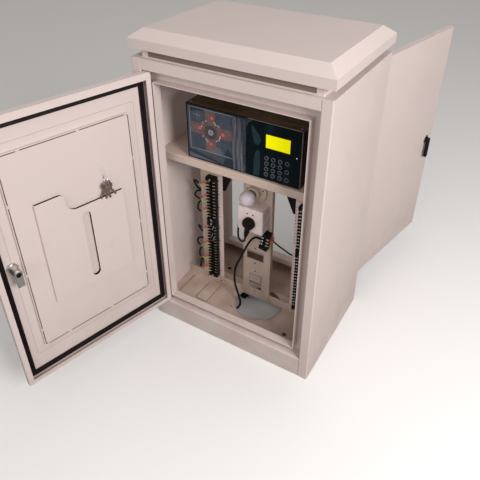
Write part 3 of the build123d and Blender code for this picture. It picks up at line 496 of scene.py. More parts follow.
# Plain finishes: red, green, blue and roughness
FINISHES = {
    moulded: {
        "black_plastic": (0.005, 0.005, 0.006, 0.36),
        "black_rubber": (0.007, 0.004, 0.004, 0.55),
        "black_cable": (0.005, 0.005, 0.006, 0.40),
        "black_enamel": (0.006, 0.005, 0.005, 0.40),
        "white_plastic": (0.86, 0.74, 0.72, 0.26),
        "cream_plastic": (0.62, 0.52, 0.44, 0.28),
        "strip_white": (0.72, 0.60, 0.57, 0.36),
        "red_print": (0.45, 0.03, 0.03, 0.45),
        "red_wire": (0.42, 0.025, 0.02, 0.34),
        "yellow_wire": (0.62, 0.40, 0.05, 0.34),
        "orange_wire": (0.55, 0.22, 0.04, 0.34),
        "green_wire": (0.22, 0.42, 0.26, 0.34),
        "breaker_cream": (0.46, 0.38, 0.335, 0.34),
        "teal_cap": (0.02, 0.13, 0.20, 0.35),
        "sealant": (0.62, 0.55, 0.52, 0.55),
        "case_cream": (0.50, 0.40, 0.33, 0.42),
        "case_dark": (0.020, 0.012, 0.008, 0.45),
        "lamp_red": (0.80, 0.035, 0.085, 0.30),
        "lamp_magenta": (0.42, 0.05, 0.26, 0.30),
        "lamp_green": (0.36, 0.58, 0.16, 0.30),
        "key_rim": (0.17, 0.19, 0.21, 0.30),
        "key_grey": (0.010, 0.017, 0.025, 0.34),
        "coat_weld": (0.60, 0.53, 0.50, 0.45),
        "joint_shade": (0.115, 0.080, 0.062, 0.60),
        "crease_shade": (0.44, 0.365, 0.34, 0.50),
        "recess_shade": (0.20, 0.150, 0.120, 0.60),
    },
    plated: {
        "brass": (0.74, 0.63, 0.42, 0.28),
        "dark_steel": (0.105, 0.080, 0.062, 0.42),
        "key_bronze": (0.36, 0.29, 0.235, 0.38),
        "zinc": (0.62, 0.62, 0.60, 0.32),
        "bright_steel": (0.80, 0.80, 0.79, 0.22),
    },
    printed: {
        "map_blue": (0.042, 0.058, 0.080, 0.40),
        # Pale painted sheen on the overlay's film
        "map_pale": (0.095, 0.110, 0.140, 0.40),
        "map_road": (0.150, 0.090, 0.080, 0.42),
        "map_stripe": (0.210, 0.110, 0.062, 0.42),
        "map_line": (0.330, 0.345, 0.400, 0.42),
        "map_dark": (0.050, 0.030, 0.030, 0.42),
        # Dark painted reflection and shadow on the overlay's film
        "map_black": (0.006, 0.012, 0.018, 0.35),
        "edge_line": (0.300, 0.250, 0.225, 0.42),
        "deep_shade": (0.004, 0.003, 0.003, 0.70),
        # Teal painted reflection on the dark panel's film
        "panel_sheen": (0.016, 0.042, 0.050, 0.30),
    },
}

# Finishes of a single piece or two, layer by layer
LAYERED = {
    # Thin clear film: glossy, faintly blue, with cloudy patches
    "clear_film": dict(
        colour=(0.30, 0.36, 0.46), roughness=0.12, Alpha=0.035, Specular_IOR_Level=0.25,
        tones=[(40.0, 4.0, 0.4, 0.7, 0.6, (0.75, 0.78, 0.92))], gloss=(90.0, 3.0, 0.08, 0.22)),
    # The same film where it lies in creases: long upright streaks, pale and dark, which are painted highlights and
    # shade of the creases
    "clouded_film": dict(
        colour=(0.13, 0.14, 0.17), roughness=0.22, Alpha=0.62, Specular_IOR_Level=0.3,
        tones=[(95.0, 5.0, 0.42, 0.62, 0.9, (0.028, 0.038, 0.055), (1.0, 1.0, 0.10)),
               (210.0, 3.0, 0.60, 0.70, 0.7, (0.30, 0.31, 0.35), (1.0, 1.0, 0.06))],
        gloss=(130.0, 3.0, 0.16, 0.34)),
    # Brown paint of the controller's cover: satin, brushed along its length, with paler tan streaks along it
    "cover_paint": dict(
        colour=(0.095, 0.055, 0.024), roughness=0.5, Specular_IOR_Level=0.2,
        tones=[(60.0, 5.0, 0.45, 0.7, 0.7, (0.19, 0.12, 0.06), (0.12, 1.0, 1.0)),
               (9.0, 4.0, 0.45, 0.7, 0.6, (0.045, 0.024, 0.011))],
        gloss=(70.0, 4.0, 0.42, 0.6), grain=(600.0, 0.00004, 0.5, (0.1, 1.0, 1.0))),
    # Deep blue skin of the front panel: nearly black, with soft upright bands of teal painted in as reflection
    "navy_panel": dict(
        colour=(0.0016, 0.0058, 0.0095), roughness=0.20, Specular_IOR_Level=0.12,
        tones=[(16.0, 3.0, 0.48, 0.72, 0.75, (0.012, 0.034, 0.042), (1.0, 1.0, 0.35))],
        gloss=(45.0, 3.0, 0.16, 0.34), grain=(900.0, 0.00002, 0.4)),
    # The lit display: even yellow light behind a matt window, a little uneven in tone
    "lcd_yellow": dict(
        colour=(0.80, 0.76, 0.0), roughness=0.45, Specular_IOR_Level=0.1,
        Emission_Strength=0.45, Emission_Color=(0.86, 0.84, 0.0, 1.0),
        tones=[(260.0, 4.0, 0.52, 0.72, 0.35, (0.62, 0.56, 0.0), (0.35, 1.0, 1.0))], gloss=(60.0, 3.0, 0.38, 0.52)),
    # Frosted glass of the bulb: pale, soft and slightly lit through, with a glossy skin
    "frosted_glass": dict(
        colour=(0.66, 0.60, 0.63), roughness=0.42, Coat_Weight=0.25, Coat_Roughness=0.12,
        Subsurface_Weight=0.25, Subsurface_Scale=0.01,
        tones=[(25.0, 3.0, 0.4, 0.75, 0.3, (0.56, 0.50, 0.54))], gloss=(140.0, 3.0, 0.28, 0.42)),
}


def finish(name):
    """A finish by its name in the tables, made the first time that it is asked for."""
    if name in LAYERED and name not in made_finishes:
        made_finishes[name] = layered(name, **LAYERED[name])
    for maker, looks in FINISHES.items():
        if name in looks and name not in made_finishes:
            *colour, roughness = looks[name]
            made_finishes[name] = maker(name + "_finish", colour, roughness)
    return made_finishes[name]


def painted(look, *nodes):
    """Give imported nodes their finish, in place of the plain one they came with."""
    for name in nodes:
        mesh = frame["nodes"][name].data
        mesh.materials.clear()
        mesh.materials.append(finish(look))


class CabinetSettings(bpy.types.PropertyGroup):
    """Colours, camera and light of the cabinet."""

    coat: bpy.props.FloatVectorProperty(
        name="Coat", description="Powder coat of the sheet metal", subtype="COLOR", size=3,
        default=(0.66, 0.565, 0.54))
    camera_place: bpy.props.FloatVectorProperty(
        name="Camera", description="Place of the lens", subtype="TRANSLATION", size=3,
        default=(0.6476, -1.1895, 1.3363))
    camera_turn: bpy.props.FloatProperty(
        name="Turn", description="Turn of the view about the upright", subtype="ANGLE", default=math.radians(30.01))
    camera_rise: bpy.props.FloatProperty(
        name="Rise", description="How far the camera looks down", subtype="ANGLE", default=math.radians(32.49))
    camera_roll: bpy.props.FloatProperty(
        name="Roll", description="Roll of the camera about its axis", subtype="ANGLE", default=math.radians(0.68))
    camera_lens: bpy.props.FloatProperty(
        name="Lens", description="Focal length on a 36 mm sensor", default=39.59, unit="CAMERA")
    camera_shift: bpy.props.FloatVectorProperty(
        name="Shift", description="Shift of the lens in frame widths", size=2, default=(-0.02, -0.102))
    key_power: bpy.props.FloatProperty(
        name="Key light", description="Power of the large lamp on the right", default=66.0, unit="POWER")
    fill_power: bpy.props.FloatProperty(
        name="Fill light", description="Power of the lamp in front", default=24.0, unit="POWER")
    top_power: bpy.props.FloatProperty(
        name="Top light", description="Power of the lamp overhead", default=9.0, unit="POWER")
    sky: bpy.props.FloatProperty(name="Sky", description="Strength of the even light all round", default=0.42)


# Operators, one for each group of pieces
class CabinetPiece:
    """What the cabinet's operators share."""

    bl_options = {"REGISTER", "UNDO"}


class CABINET_OT_sheet_metal(CabinetPiece, bpy.types.Operator):
    """Finish the folded sheet of the body, roof, doors, floor and inner frame"""

    bl_idname = "cabinet.sheet_metal"
    bl_label = "Sheet metal"

    def execute(self, context):
        coat = np.array(context.scene.cabinet.coat)
        # The inside coat is a darker, warmer copy of the outer one: partly dust, partly painted shade and warm light
        # thrown back inside the cabinet. The third copy is darker still: painted shade of the dim rear, with more dust.
        for name, share, dust in (("powder_coat", 1.0, 0.35), ("powder_coat_inside", (0.92, 0.86, 0.78), 0.7),
                                  ("powder_coat_dusty", (0.62, 0.54, 0.46), 0.8)):
            made_finishes[name] = powder_coat(name, coat * share, dust)
        painted("powder_coat", "right_side_panel", "left_side_panel", "front_sill", "rear_sill", "front_header",
                "rear_header", "top_plate", "roof_neck", "roof_cap", "front_door_panel", "rear_door_panel",
                "front_door_pan", "rear_door_pan", "document_pocket")
        painted("powder_coat_inside", "floor_plate", "crossbars", "shelf", "terminal_rails", "centre_plate")
        # The rear floor plate takes the darkest copy: painted shade with dust.
        painted("powder_coat_dusty", "rear_floor_plate")
        painted("black_enamel", "shelf_gussets", "front_latch_handle", "rear_latch_handle")
        painted("zinc", "din_rail", "pivot_pins", "pivot_blocks", "front_door_bushes", "rear_door_bushes",
                "front_latch_barrel", "rear_latch_barrel", "front_latch_cam", "rear_latch_cam")
        return {"FINISHED"}


# Routes of the leads, in millimetres: the solids' points, drawn up to 12 mm nearer to how they hang
SUPPLY_ROUTE = [
    (23.33, -28, 315.66), (5.86, -28, 320.02), (-7, -32, 313), (-17, -40, 297), (-26, -47, 272), (-35, -51, 247),
    (-44, -56, 224), (-53, -61, 198), (-56, -66, 166), (-52, -70, 132), (-42, -70, 100), (-33, -69, 72),
    (-30, -70, 46), (-40, -72, 24), (-58, -74, 10), (-78, -76.5, 3.6), (-98, -76.5, 3.6),
]
SUPPLY_TAIL = [(-112, 9.5, 10.9), (-98, 13.0, 11), (-91, 14.5, 11), (-84, 14.5, 11)]
PLUG_ROUTE = [
    (-9.2, -74, 348), (-11, -74, 335), (-15.5, -73, 324), (-27, -70, 318), (-41, -62, 318), (-51, -51, 327),
    (-57, -37, 350), (-61, -18, 374), (-60, 4, 400), (-54, 22, 432), (-50, 38, 470), (-50, 56, 512),
    (-52, 76, 556), (-56, 88, 600), (-62, 86, 640), (-72, 70, 668), (-84, 44, 681), (-93, 14, 681),
    (-96, -12, 680), (-96, -37, 680),
]
LINK_ROUTE = [
    (64.65, -27, 324.32), (75.10, -27, 317.72), (88, -21, 306), (101, -11, 290), (115, -3, 276), (129, 8, 266),
    (142, 14, 259), (154, 11, 252), (160, 0, 248), (160, -16, 248),
]


def coil_turns(centre, outer, pitch, climb, rest):
    """Points of the coil under the floor: a spiral inwards on the ground, then one outwards on top of it.

    The radius falls by the pitch in each turn, stays for a third of a turn while the lead climbs, and grows again.
    The angle runs clockwise from the side nearest the front, sixteen points to a turn.
    """
    inward_turns, outward_turns, flat = 2.5, 2.0, 0.35
    turns = np.arange(0, inward_turns + outward_turns + 0.001, 1 / 16)
    grown = np.clip(turns - inward_turns - flat, 0, None)
    radius = outer - pitch * np.clip(turns, 0, inward_turns) + pitch * grown
    height = rest + climb * np.clip((turns - inward_turns) / flat, 0, 1)
    angle = -np.pi / 2 - 2 * np.pi * turns
    return np.stack([centre[0] + radius * np.cos(angle), centre[1] + radius * np.sin(angle), height], axis=-1)


def supply_plug():
    """Rounded outlines lofted along the plug: strain relief, grip and face, with three flat pins."""
    middle, rest = 14.5, 11
    stations = ((-85, 10, 10), (-82, 11, 11), (-80, 13, 12), (-77, 12, 11), (-75, 15, 13), (-71, 26, 19),
                (-66, 33, 22), (-58, 34, 22), (-54, 33, 21), (-53, 31, 20))
    rings = [
        on_plane(rounded_outline(width, height, min(width, height) * 0.32), basis((along, middle, rest), RIGHT))
        for along, width, height in stations
    ]
    pins = [
        plate(6.3, 1.5, 14, 0.6, 0.3, basis((-53, middle + across, rest + up), RIGHT, tilt))
        for across, up, tilt in ((0, 6, UP), (-7, -4, (0, 0.5, 1)), (7, -4, (0, -0.5, 1)))
    ]
    plug = piece("supply_plug_body", ringed(np.array(rings)), "black_plastic", ["supply_plug"])
    piece("supply_plug_pins", pins, "brass")
    return plug


class CABINET_OT_leads(CabinetPiece, bpy.types.Operator):
    """Lay the supply lead with its coil and plug, the lead to the controller and the link lead"""

    bl_idname = "cabinet.leads"
    bl_label = "Leads"

    def execute(self, context):
        coil = coil_turns((-125, -31), 45.5, 7.2, 7.2, 3.6)
        route = [*SUPPLY_ROUTE, *coil, *SUPPLY_TAIL]
        supply = cord("supply_lead_line", route, 7, ["supply_lead", "supply_coil"])
        plug = supply_plug()
        lead = cord("plug_lead_line", PLUG_ROUTE, 6, ["plug_lead"])
        link = cord("link_lead_line", LINK_ROUTE, 5, ["link_lead"])
        return {"FINISHED"}


# The controller's overlay: its front, the thickness of one printed layer, the middle of the printed junction
OVERLAY = -116.0
LAYER = 0.25
JUNCTION = (-96.4, 695.3)


def layer(x, z, level):
    """The plane of the overlay's print at this place, so many layers above the overlay."""
    return facing(x, OVERLAY - LAYER * level, z)


def inked(name, look, level, *outlines):
    """Flat shapes of one colour on one layer: print, or painted reflection, shadow and sheen."""
    piece(name, [flat_shape(outline, LAYER, layer(0, 0, level)) for outline in outlines], look, smooth=False)


def strips(width, height, level, places):
    """Thin printed bars on one layer."""
    return [plate(width, height, LAYER, 0.3, 0.1, layer(x, z, level)) for x, z in places]


def diagram():
    """The printed junction: pale field, crossing roads, centre island, frame line and signal lamps, with dark painted
    reflections and shadow and pale painted sheen laid over it.
    """
    field = [(-173, 603.5), (15.5, 603.5), (15, 735), (17, 745), (22, 754), (33, 763.2), (-173, 763.2)]
    inked("map_field", "map_blue", 0, field)
    # Dark patches of painted reflection and shadow on the film
    inked(
        "map_shade", "map_black", 1,
        [(-166, 759), (-166, 746), (-120, 752), (-116, 759)],
        [(-54, 640), (-40, 661), (-36, 652), (-28, 642), (-26, 634), (-44, 634)],
        [(-58, 604), (-57, 616), (-50, 629), (-38, 636), (-20, 639), (-14, 622), (-10, 604)],
        [(-172, 628), (-172, 619), (-110, 610), (-64, 604.5), (-60, 607), (-100, 616)],
    )
    # Pale patches of painted sheen where the film catches the light
    inked(
        "map_sheen", "map_pale", 1,
        [(-172, 617), (-172, 604.5), (-100, 604.5), (-68, 604.5), (-112, 609)],
        [(-92, 634), (-84, 652), (-70, 656), (-56, 641), (-60, 634)],
    )
    across, up, half = -97.5, 699.0, 16.0
    left, right, low, high = -164.5, -27.0, 634.5, 758.5
    inked("map_roads", "map_road", 2, [
        (left, up - half), (across - half, up - half), (across - half, low), (across + half, low),
        (across + half, up - half), (right, up - half), (right, up + half), (across + half, up + half),
        (across + half, high), (across - half, high), (across - half, up + half), (left, up + half),
    ])
    stripes = strips(33, 2.2, 3, [(x, up + z) for x in (-147, -44) for z in (-3, 4)])
    stripes += strips(2.2, 30, 3, [(across + x, z) for z in (742, 652) for x in (-4, 4)])
    piece("map_stripes", stripes, "map_stripe", smooth=False)
    compass = [(-141, 738)]
    border = frame_line(141, 127, LAYER * 1.5, 1.3, layer(-95.7, 696.5, 2))
    piece("map_lines", [border, *strips(1.0, 20, 2, compass), *strips(24, 1.0, 2, compass)], "map_line")
    centre = layer(*JUNCTION, 4)[0]
    piece("map_island", turned([(21, 0), (21, 0.3), (0.05, 0.3)], layer(*JUNCTION, 3)[0], 40), "map_dark")
    piece("island_rings", [ring_of(inner, inner + 0.9, 0.3, centre) for inner in (19.4, 13.5)], "map_road")
    piece("island_hub", [ring_of(3.2, 8.6, 0.5, centre), ring_of(0.4, 1.9, 0.5, centre, 12)], "map_line")
    dome = np.array([(1.0, 0.0), (0.98, 0.3), (0.82, 0.65), (0.5, 0.9), (0.03, 1.0)])
    for look, radius, places in (
        ("lamp_red", 4.9, ((-91.7, 738.2), (-132.6, 701.3), (-57.4, 697.9), (-97.7, 659.7))),
        ("lamp_magenta", 3.9, ((-121.8, 719), (-71.3, 719.6), (-122, 678), (-70.8, 677.7))),
    ):
        piece("map_" + look, [turned(dome * (radius, 1.5), layer(x, z, 3)[0], 16) for x, z in places], look)
    bars = []
    for x, z in ((-111.6, 726), (-84, 727.5), (-80, 722), (-125.6, 707.6), (-65.6, 689.7), (-68, 684),
                 (-77.4, 674.4), (-112.2, 671.3), (-108, 666)):
        slope = math.atan2(z - JUNCTION[1], x - JUNCTION[0]) + math.pi / 2
        tilted = basis(layer(x, z, 3)[0], FRONT, (-math.sin(slope), 0, math.cos(slope)))
        bars.append(plate(6.4, 2.6, 0.9, 1.1, 0.3, tilted))
    piece("map_lamp_green", bars, "lamp_green")


def rippled(name, span, crease, look):
    """A thin film on a grid: its height is long slanted ripples plus upright creases of this depth."""
    across, up = np.meshgrid(np.linspace(*span, 60), np.linspace(605.5, 761, 40), indexing="ij")
    height = 2.4 + 0.35 * np.sin(across / 9 + up / 31) + 0.25 * np.sin(up / 13 - across / 23)
    height += crease * (1 + np.sin(across / 2.1 + np.sin(up / 17)))
    front = np.stack([across, OVERLAY - height, up], axis=-1)
    back = front + (0.0, 0.12, 0.0)
    rows, columns = across.shape
    count = rows * columns
    index = np.arange(count).reshape(rows, columns)
    ring = np.concatenate([index[:, 0], index[-1, 1:], index[-2::-1, -1], index[0, -2:0:-1]])
    following = np.roll(ring, -1)
    faces = grid_faces(rows, columns, closed_around=False)
    faces += [[corner + count for corner in face[::-1]] for face in faces]
    faces += np.stack([ring, following, following + count, ring + count], axis=-1).tolist()
    piece(name, outward(np.concatenate([front.reshape(-1, 3), back.reshape(-1, 3)]), faces), look)


def display_side():
    """The edge line of the dark part, bands of painted reflection on it, the display's frame and a status lamp."""
    line = [(20, 766.6), (177.6, 766.6), (177.6, 602), (176.3, 602), (176.3, 765.3), (20, 765.3)]
    piece("panel_line", flat_shape(line, 0.25, facing(0, -115, 0)), "edge_line", smooth=False)
    # Tall bands of painted reflection on the dark panel's film
    inked(
        "panel_painted_reflections", "panel_sheen", 0,
        [(38, 604), (56, 604), (59, 640), (57, 680), (50, 684), (43, 672), (39, 650)],
        [(34, 752), (30, 742), (40, 700), (52, 696), (60, 712), (56, 726), (46, 736)],
    )
    bezel = frame_line(76, 44, 0.8, 2.4, layer(109.5, 715, 0), 2.0)
    piece("display_frame", bezel, "black_plastic", smooth=False)
    dome = [(2.2, 0), (2.1, 0.8), (1.2, 1.4), (0.05, 1.6)]
    piece("status_lamp", turned(dome, layer(165, 689, 0)[0], 16), "bright_steel")


def keypad():
    """Three columns of four keys and one of three, each a low dome inside a bright ring."""
    places = [(108 + 20.3 * (column - 1.5), 0, 641 + 16.3 * (row - 1.5)) for column in range(3) for row in range(4)]
    places += [(138.5, 0, 641 + 24.4 * (row - 1)) for row in range(3)]
    rim = [(6.2, 0), (6.2, 0.7), (5.8, 1.1), (5.3, 1.15), (5.0, 0.8), (5.0, 0.3), (0.05, 0.3)]
    dome = [(4.9, 0.3), (4.7, 0.9), (3.6, 1.25), (1.8, 1.35), (0.05, 1.4)]
    piece("key_rings", copies(turned(rim, (0, OVERLAY, 0), 24), places), "key_rim", ["controller_keys"])
    piece("key_domes", copies(turned(dome, (0, OVERLAY, 0), 20), places), "key_grey")


class CABINET_OT_controller(CabinetPiece, bpy.types.Operator):
    """Dress the controller unit: case, junction diagram, film, display frame and keypad"""

    bl_idname = "cabinet.controller"
    bl_label = "Controller"

    def execute(self, context):
        painted("case_cream", "controller_case")
        painted("cover_paint", "controller_cover")
        painted("black_enamel", "controller_front_plate")
        painted("navy_panel", "controller_overlay")
        painted("lcd_yellow", "controller_lcd")
        painted("black_plastic", "controller_inlet")
        diagram()
        rippled("overlay_film", (-171, -26), 0.3, "clear_film")
        rippled("film_folds", (-25, 14.5), 1.2, "clouded_film")
        display_side()
        keypad()
        low, high = (np.array(corner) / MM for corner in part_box("controller_case"))
        middle = (high[0], (low[1] + high[1]) / 2, (low[2] + high[2]) / 2)
        side = plate(high[1] - low[1] - 2, high[2] - low[2] - 2, 0.5, 1.0, 0.2, basis(middle, RIGHT))
        piece("case_side", side, "case_dark")
        screws = [screw_head((x, y, 767), 2.6, 1.6, normal=UP) for x in (-168, 168) for y in (-104, -61)]
        piece("cover_screws", screws, "zinc")
        return {"FINISHED"}


# The front of the rails and of the centre plate
PLATE_FACE = -18.0
# The terminal blocks: foot, top and number of poles, and the heights of all poles from the lowest
BLOCKS = ((88, 320, 17), (322, 490, 12))
POLE_PITCH = 12.0
POLES = np.concatenate([(foot + top - POLE_PITCH * (count - 1)) / 2 + POLE_PITCH * np.arange(count)
                        for foot, top, count in BLOCKS])
# How far the blocks, the two rows of screws from a block's middle, and the number strips stand to the side
TERMINAL_X = 161.0
SCREW_ROW = 9.75
STRIP_X = 136.0


def terminal_block(x, foot, top, count):
    """One block: a base, solid ends, thin barriers between the poles and a ridge down the middle."""
    middle, length = (foot + top) / 2, top - foot
    end = (length - POLE_PITCH * count) / 2
    return [
        plate(34, length, 13, 1.0, 0.5, facing(x, PLATE_FACE, middle)),
        *(plate(33.6, end - 0.4, 8.2, 1.0, 0.6, facing(x, -30.8, z)) for z in (foot + end / 2, top - end / 2)),
        plate(5, length - 2 * end, 6.2, 0.8, 0.4, facing(x, -30.8, middle)),
        *(plate(33.4, 1.9, 8, 0.6, 0.3, facing(x, -30.9, foot + end + POLE_PITCH * place))
          for place in range(count + 1)),
    ]


def number_strips():
    """White strips beside the blocks, with a red figure at every pole and a red dash between two."""
    bands = [plate(17, 404, 0.8, 1.0, 0.2, facing(side * STRIP_X, PLATE_FACE, 288)) for side in SIDES]
    piece("number_bands", bands, "strip_white", ["number_strips"])
    for side, name in zip(SIDES, ("left", "right")):
        start = 0
        for (_, _, count), block in zip(BLOCKS, ("lower", "upper")):
            start += count
            plane = facing(side * STRIP_X + 1.5, -18.75, POLES[start - 1] - 2)
            lines = [str(number + 1) for number in range(count)]
            figures(f"figures_{name}_{block}", lines, 6.2, POLE_PITCH, plane, "red_print")
        marks = [plate(2.6, 3.6, 0.14, 0.3, 0.05, facing(side * STRIP_X - 6, -18.8, z)) for z in POLES]
        piece(f"strip_marks_{name}", marks, "red_print", smooth=False)


class CABINET_OT_terminals(CabinetPiece, bpy.types.Operator):
    """Fit the terminal rails and blocks with clamps and screws and print the number strips"""

    bl_idname = "cabinet.terminals"
    bl_label = "Terminals"

    def execute(self, context):
        rails = [plate(83, 545, 2, 1.5, 0.4, facing(side * 168.5, -16, 322.5)) for side in SIDES]
        piece("wide_terminal_rails", rails, "powder_coat_inside", ["terminal_rails"])
        for side, name in zip(SIDES, ("left", "right")):
            shells = [shell for block in BLOCKS for shell in terminal_block(side * TERMINAL_X, *block)]
            piece(f"terminal_bodies_{name}", shells, "black_plastic", [f"{name}_terminal_blocks"])
        columns = [side * TERMINAL_X + row * SCREW_ROW for side in SIDES for row in SIDES]
        spots = [(x, 0, z) for x in columns for z in POLES]
        silver = [(x, y, z) for x, y, z in spots if (245 < z < 345 and x > -165) or x > 0]
        gold = [spot for spot in spots if spot not in silver]
        clamp = plate(9.6, 7.6, 1.5, 1.0, 0.35, facing(0, -31, 0))
        head = screw_head((0, -32.5, 0), 3.2, 2.8, 0.2, cross=False)
        for look, places in (("brass", gold), ("bright_steel", silver)):
            piece("terminal_clamps_" + look, copies(clamp, places), look)
            piece("terminal_screws_" + look, copies(head, places), look)
        ends = [screw_head((side * TERMINAL_X, -39, z), 3.4, 1.8, z) for side in SIDES for z in (94, 314, 329, 483)]
        links = [plate(2.6, 20, 1.2, 1.0, 0.4, basis((x, -39, z), FRONT, (0.35, 0, 1)))
                 for x, z in ((-160, 318), (-154, 300), (-158, 270), (-153, 256))]
        piece("terminal_fixings", ends + links, "zinc")
        number_strips()
        dots = [screw_head((side * 141, -18.8, z), 2.1, 1.0, z) for side in SIDES for z in (476, 425, 374, 293, 242)]
        piece("strip_screws", dots, "dark_steel")
        return {"FINISHED"}


# For each group of wires: place where its wires part, heights of its poles, start of the sleeve above or below
# that place, how far the sleeve stands out past the rail
WIRE_GROUPS = (
    ((-200, 461), (472, 460, 448), -24, 19), ((-196, 405), (424, 412, 400), 25, 18),
    ((-194, 358), (376, 364, 352), 40, 10), ((-197, 287), (300, 288), -20, 9),
    ((-203, 216), (240, 228, 216), 22, 18), ((-201, 167), (180, 168, 156), 36, 12),
    ((-202, 121), (132, 120, 108), 38, 8),
)


class CABINET_OT_terminal_wires(CabinetPiece, bpy.types.Operator):
    """Lead the seven groups of wires round the left rail to their terminals"""

    bl_idname = "cabinet.terminal_wires"
    bl_label = "Terminal wires"

    def execute(self, context):
        sleeves = []
        wires = {"red_wire": [], "yellow_wire": [], "green_wire": []}
        for (x, z), poles, rise, reach in WIRE_GROUPS:
            fan = np.array([x, -43.0, z])
            outer = -210 - reach
            behind = z + rise - 21
            if rise < 0:
                bend = [(outer + 5, -14, behind + 5), (outer, -23, z - 18), (outer + 3, -33, z - 2),
                        (x - 12, -40, z + 5)]
            else:
                bend = [(outer + 8, -12, behind + 2), (outer, -21, z + 0.4 * rise - 6), (outer + 3, -31, z - 3),
                        (x - 9, -40, z - 3)]
            sleeves.append(wire([(-198, -6, behind - 1), (-208, -8, behind), *bend, fan], 3.1, 12))
            for place, pole in enumerate(poles):
                colour = list(wires)[place if len(poles) == 3 else 2 * place]
                start = fan + (-1.5, 0.8, 2.0 * (1 - place))
                slack = 1.5 * math.sin(0.7 * z + 2.1 * place)
                halfway = ((x - 176) / 2, -46 + 0.4 * slack, (start[2] + pole) / 2 + slack)
                wires[colour].append(wire([start, start + (6, -2.5, 0.4), halfway, (-178, -41, pole + 0.4),
                                           (-172.5, -36, pole), (-171, -32.5, pole)], 1.3))
        piece("wire_sleeves", sleeves, "black_cable", ["terminal_wires"])
        for colour, shells in wires.items():
            piece("tails_" + colour, shells, colour)
        return {"FINISHED"}


class CABINET_OT_lamp(CabinetPiece, bpy.types.Operator):
    """Turn the lamp holder and its bulb"""

    bl_idname = "cabinet.lamp"
    bl_label = "Lamp"

    def execute(self, context):
        centre = (-5, PLATE_FACE, 485)
        holder = [(38, 0), (38, 6.5), (37.2, 8.2), (35.4, 9), (31, 9.1), (30, 9.7), (24, 10), (22.6, 11.5), (22, 14),
                  (21.4, 24), (20.9, 26.6), (19.6, 28), (15.4, 28), (14.4, 27), (13.9, 25), (13.9, 6), (0.05, 6)]
        piece("holder_body", turned(holder, centre, 56), "cream_plastic", ["lamp_holder"])
        reach, radius = 54, 24
        angle = np.linspace(math.acos(-0.86), 0, 22)
        globe = np.stack([radius * np.sin(angle), reach + radius * np.cos(angle)], axis=-1)
        globe[-1, 0] = 0.05
        neck = [(12.9, 6.2), (12.9, 28), (13.3, 30.5)]
        piece("bulb_glass", turned([*neck, *globe[2:]], centre, 48), "frosted_glass", ["lamp_bulb"])
        collar = [(13.8, 27.4), (14.6, 28.2), (14.9, 29.4), (14.2, 30.4), (13.0, 30.6), (12.95, 27.6)]
        piece("bulb_collar", turned(collar, centre, 40, closed=True), "dark_steel")
        piece("holder_screws", [screw_head((x, -27.2, z), 2.6, 1.4) for x, z in ((-33, 489), (22, 496))], "dark_steel")
        return {"FINISHED"}


class CABINET_OT_socket(CabinetPiece, bpy.types.Operator):
    """Dress the wall socket and mould the plug with its boot"""

    bl_idname = "cabinet.socket"
    bl_label = "Socket and plug"

    def execute(self, context):
        front = -64
        painted("white_plastic", "socket_box")
        face = plate(86, 86, 8, 4, 2.2, facing(0, -56, 403))
        rim = frame_line(64, 64, 0.35, 0.7, facing(0, front, 403), 4)
        piece("socket_face", [face, rim], "white_plastic", ["socket_faceplate"])
        holes = [plate(6.8, 4.2, 0.12, 1.8, 0.03, basis((x, front, 426), FRONT, (0.25, 0, 1))) for x in (-9.5, 9.5)]
        piece("socket_shutters", holes, "black_plastic", smooth=False)
        head = [(17.5, 0), (18.8, 1.2), (20, 4), (20, 9), (19.4, 9.6), (19.4, 10.4), (20, 11), (19.7, 14), (18.6, 16.3),
                (16.4, 17.7), (13, 18), (6, 18), (0.05, 18)]
        piece("plug_head", turned(head, (0, front, 397), 44), "black_rubber", ["socket_plug"])
        # The boot hangs in a slight curve: distance along it and radius, with a groove after each rib
        along, radius = np.transpose([
            (0, 10.5), (3, 11), (8, 11), (10, 10.6), (11.5, 9.4), (16, 9.4), (17.5, 10.2), (19, 8.9), (23, 8.9),
            (24.5, 9.6), (26, 8.3), (30, 8.3), (31.5, 8.9), (33, 7.7), (37, 7.7), (38.5, 8.2), (40, 7.0), (44, 6.8),
            (49, 6.3), (51.5, 5.4), (52, 3.1),
        ])
        share = along / along[-1]
        line = np.stack([-9.5 * share**1.2, front - 9 - share, 397 - along * 0.96], axis=-1)
        piece("plug_boot", carried(circle(0.95, 24), line, swell=radius), "black_rubber")
        return {"FINISHED"}


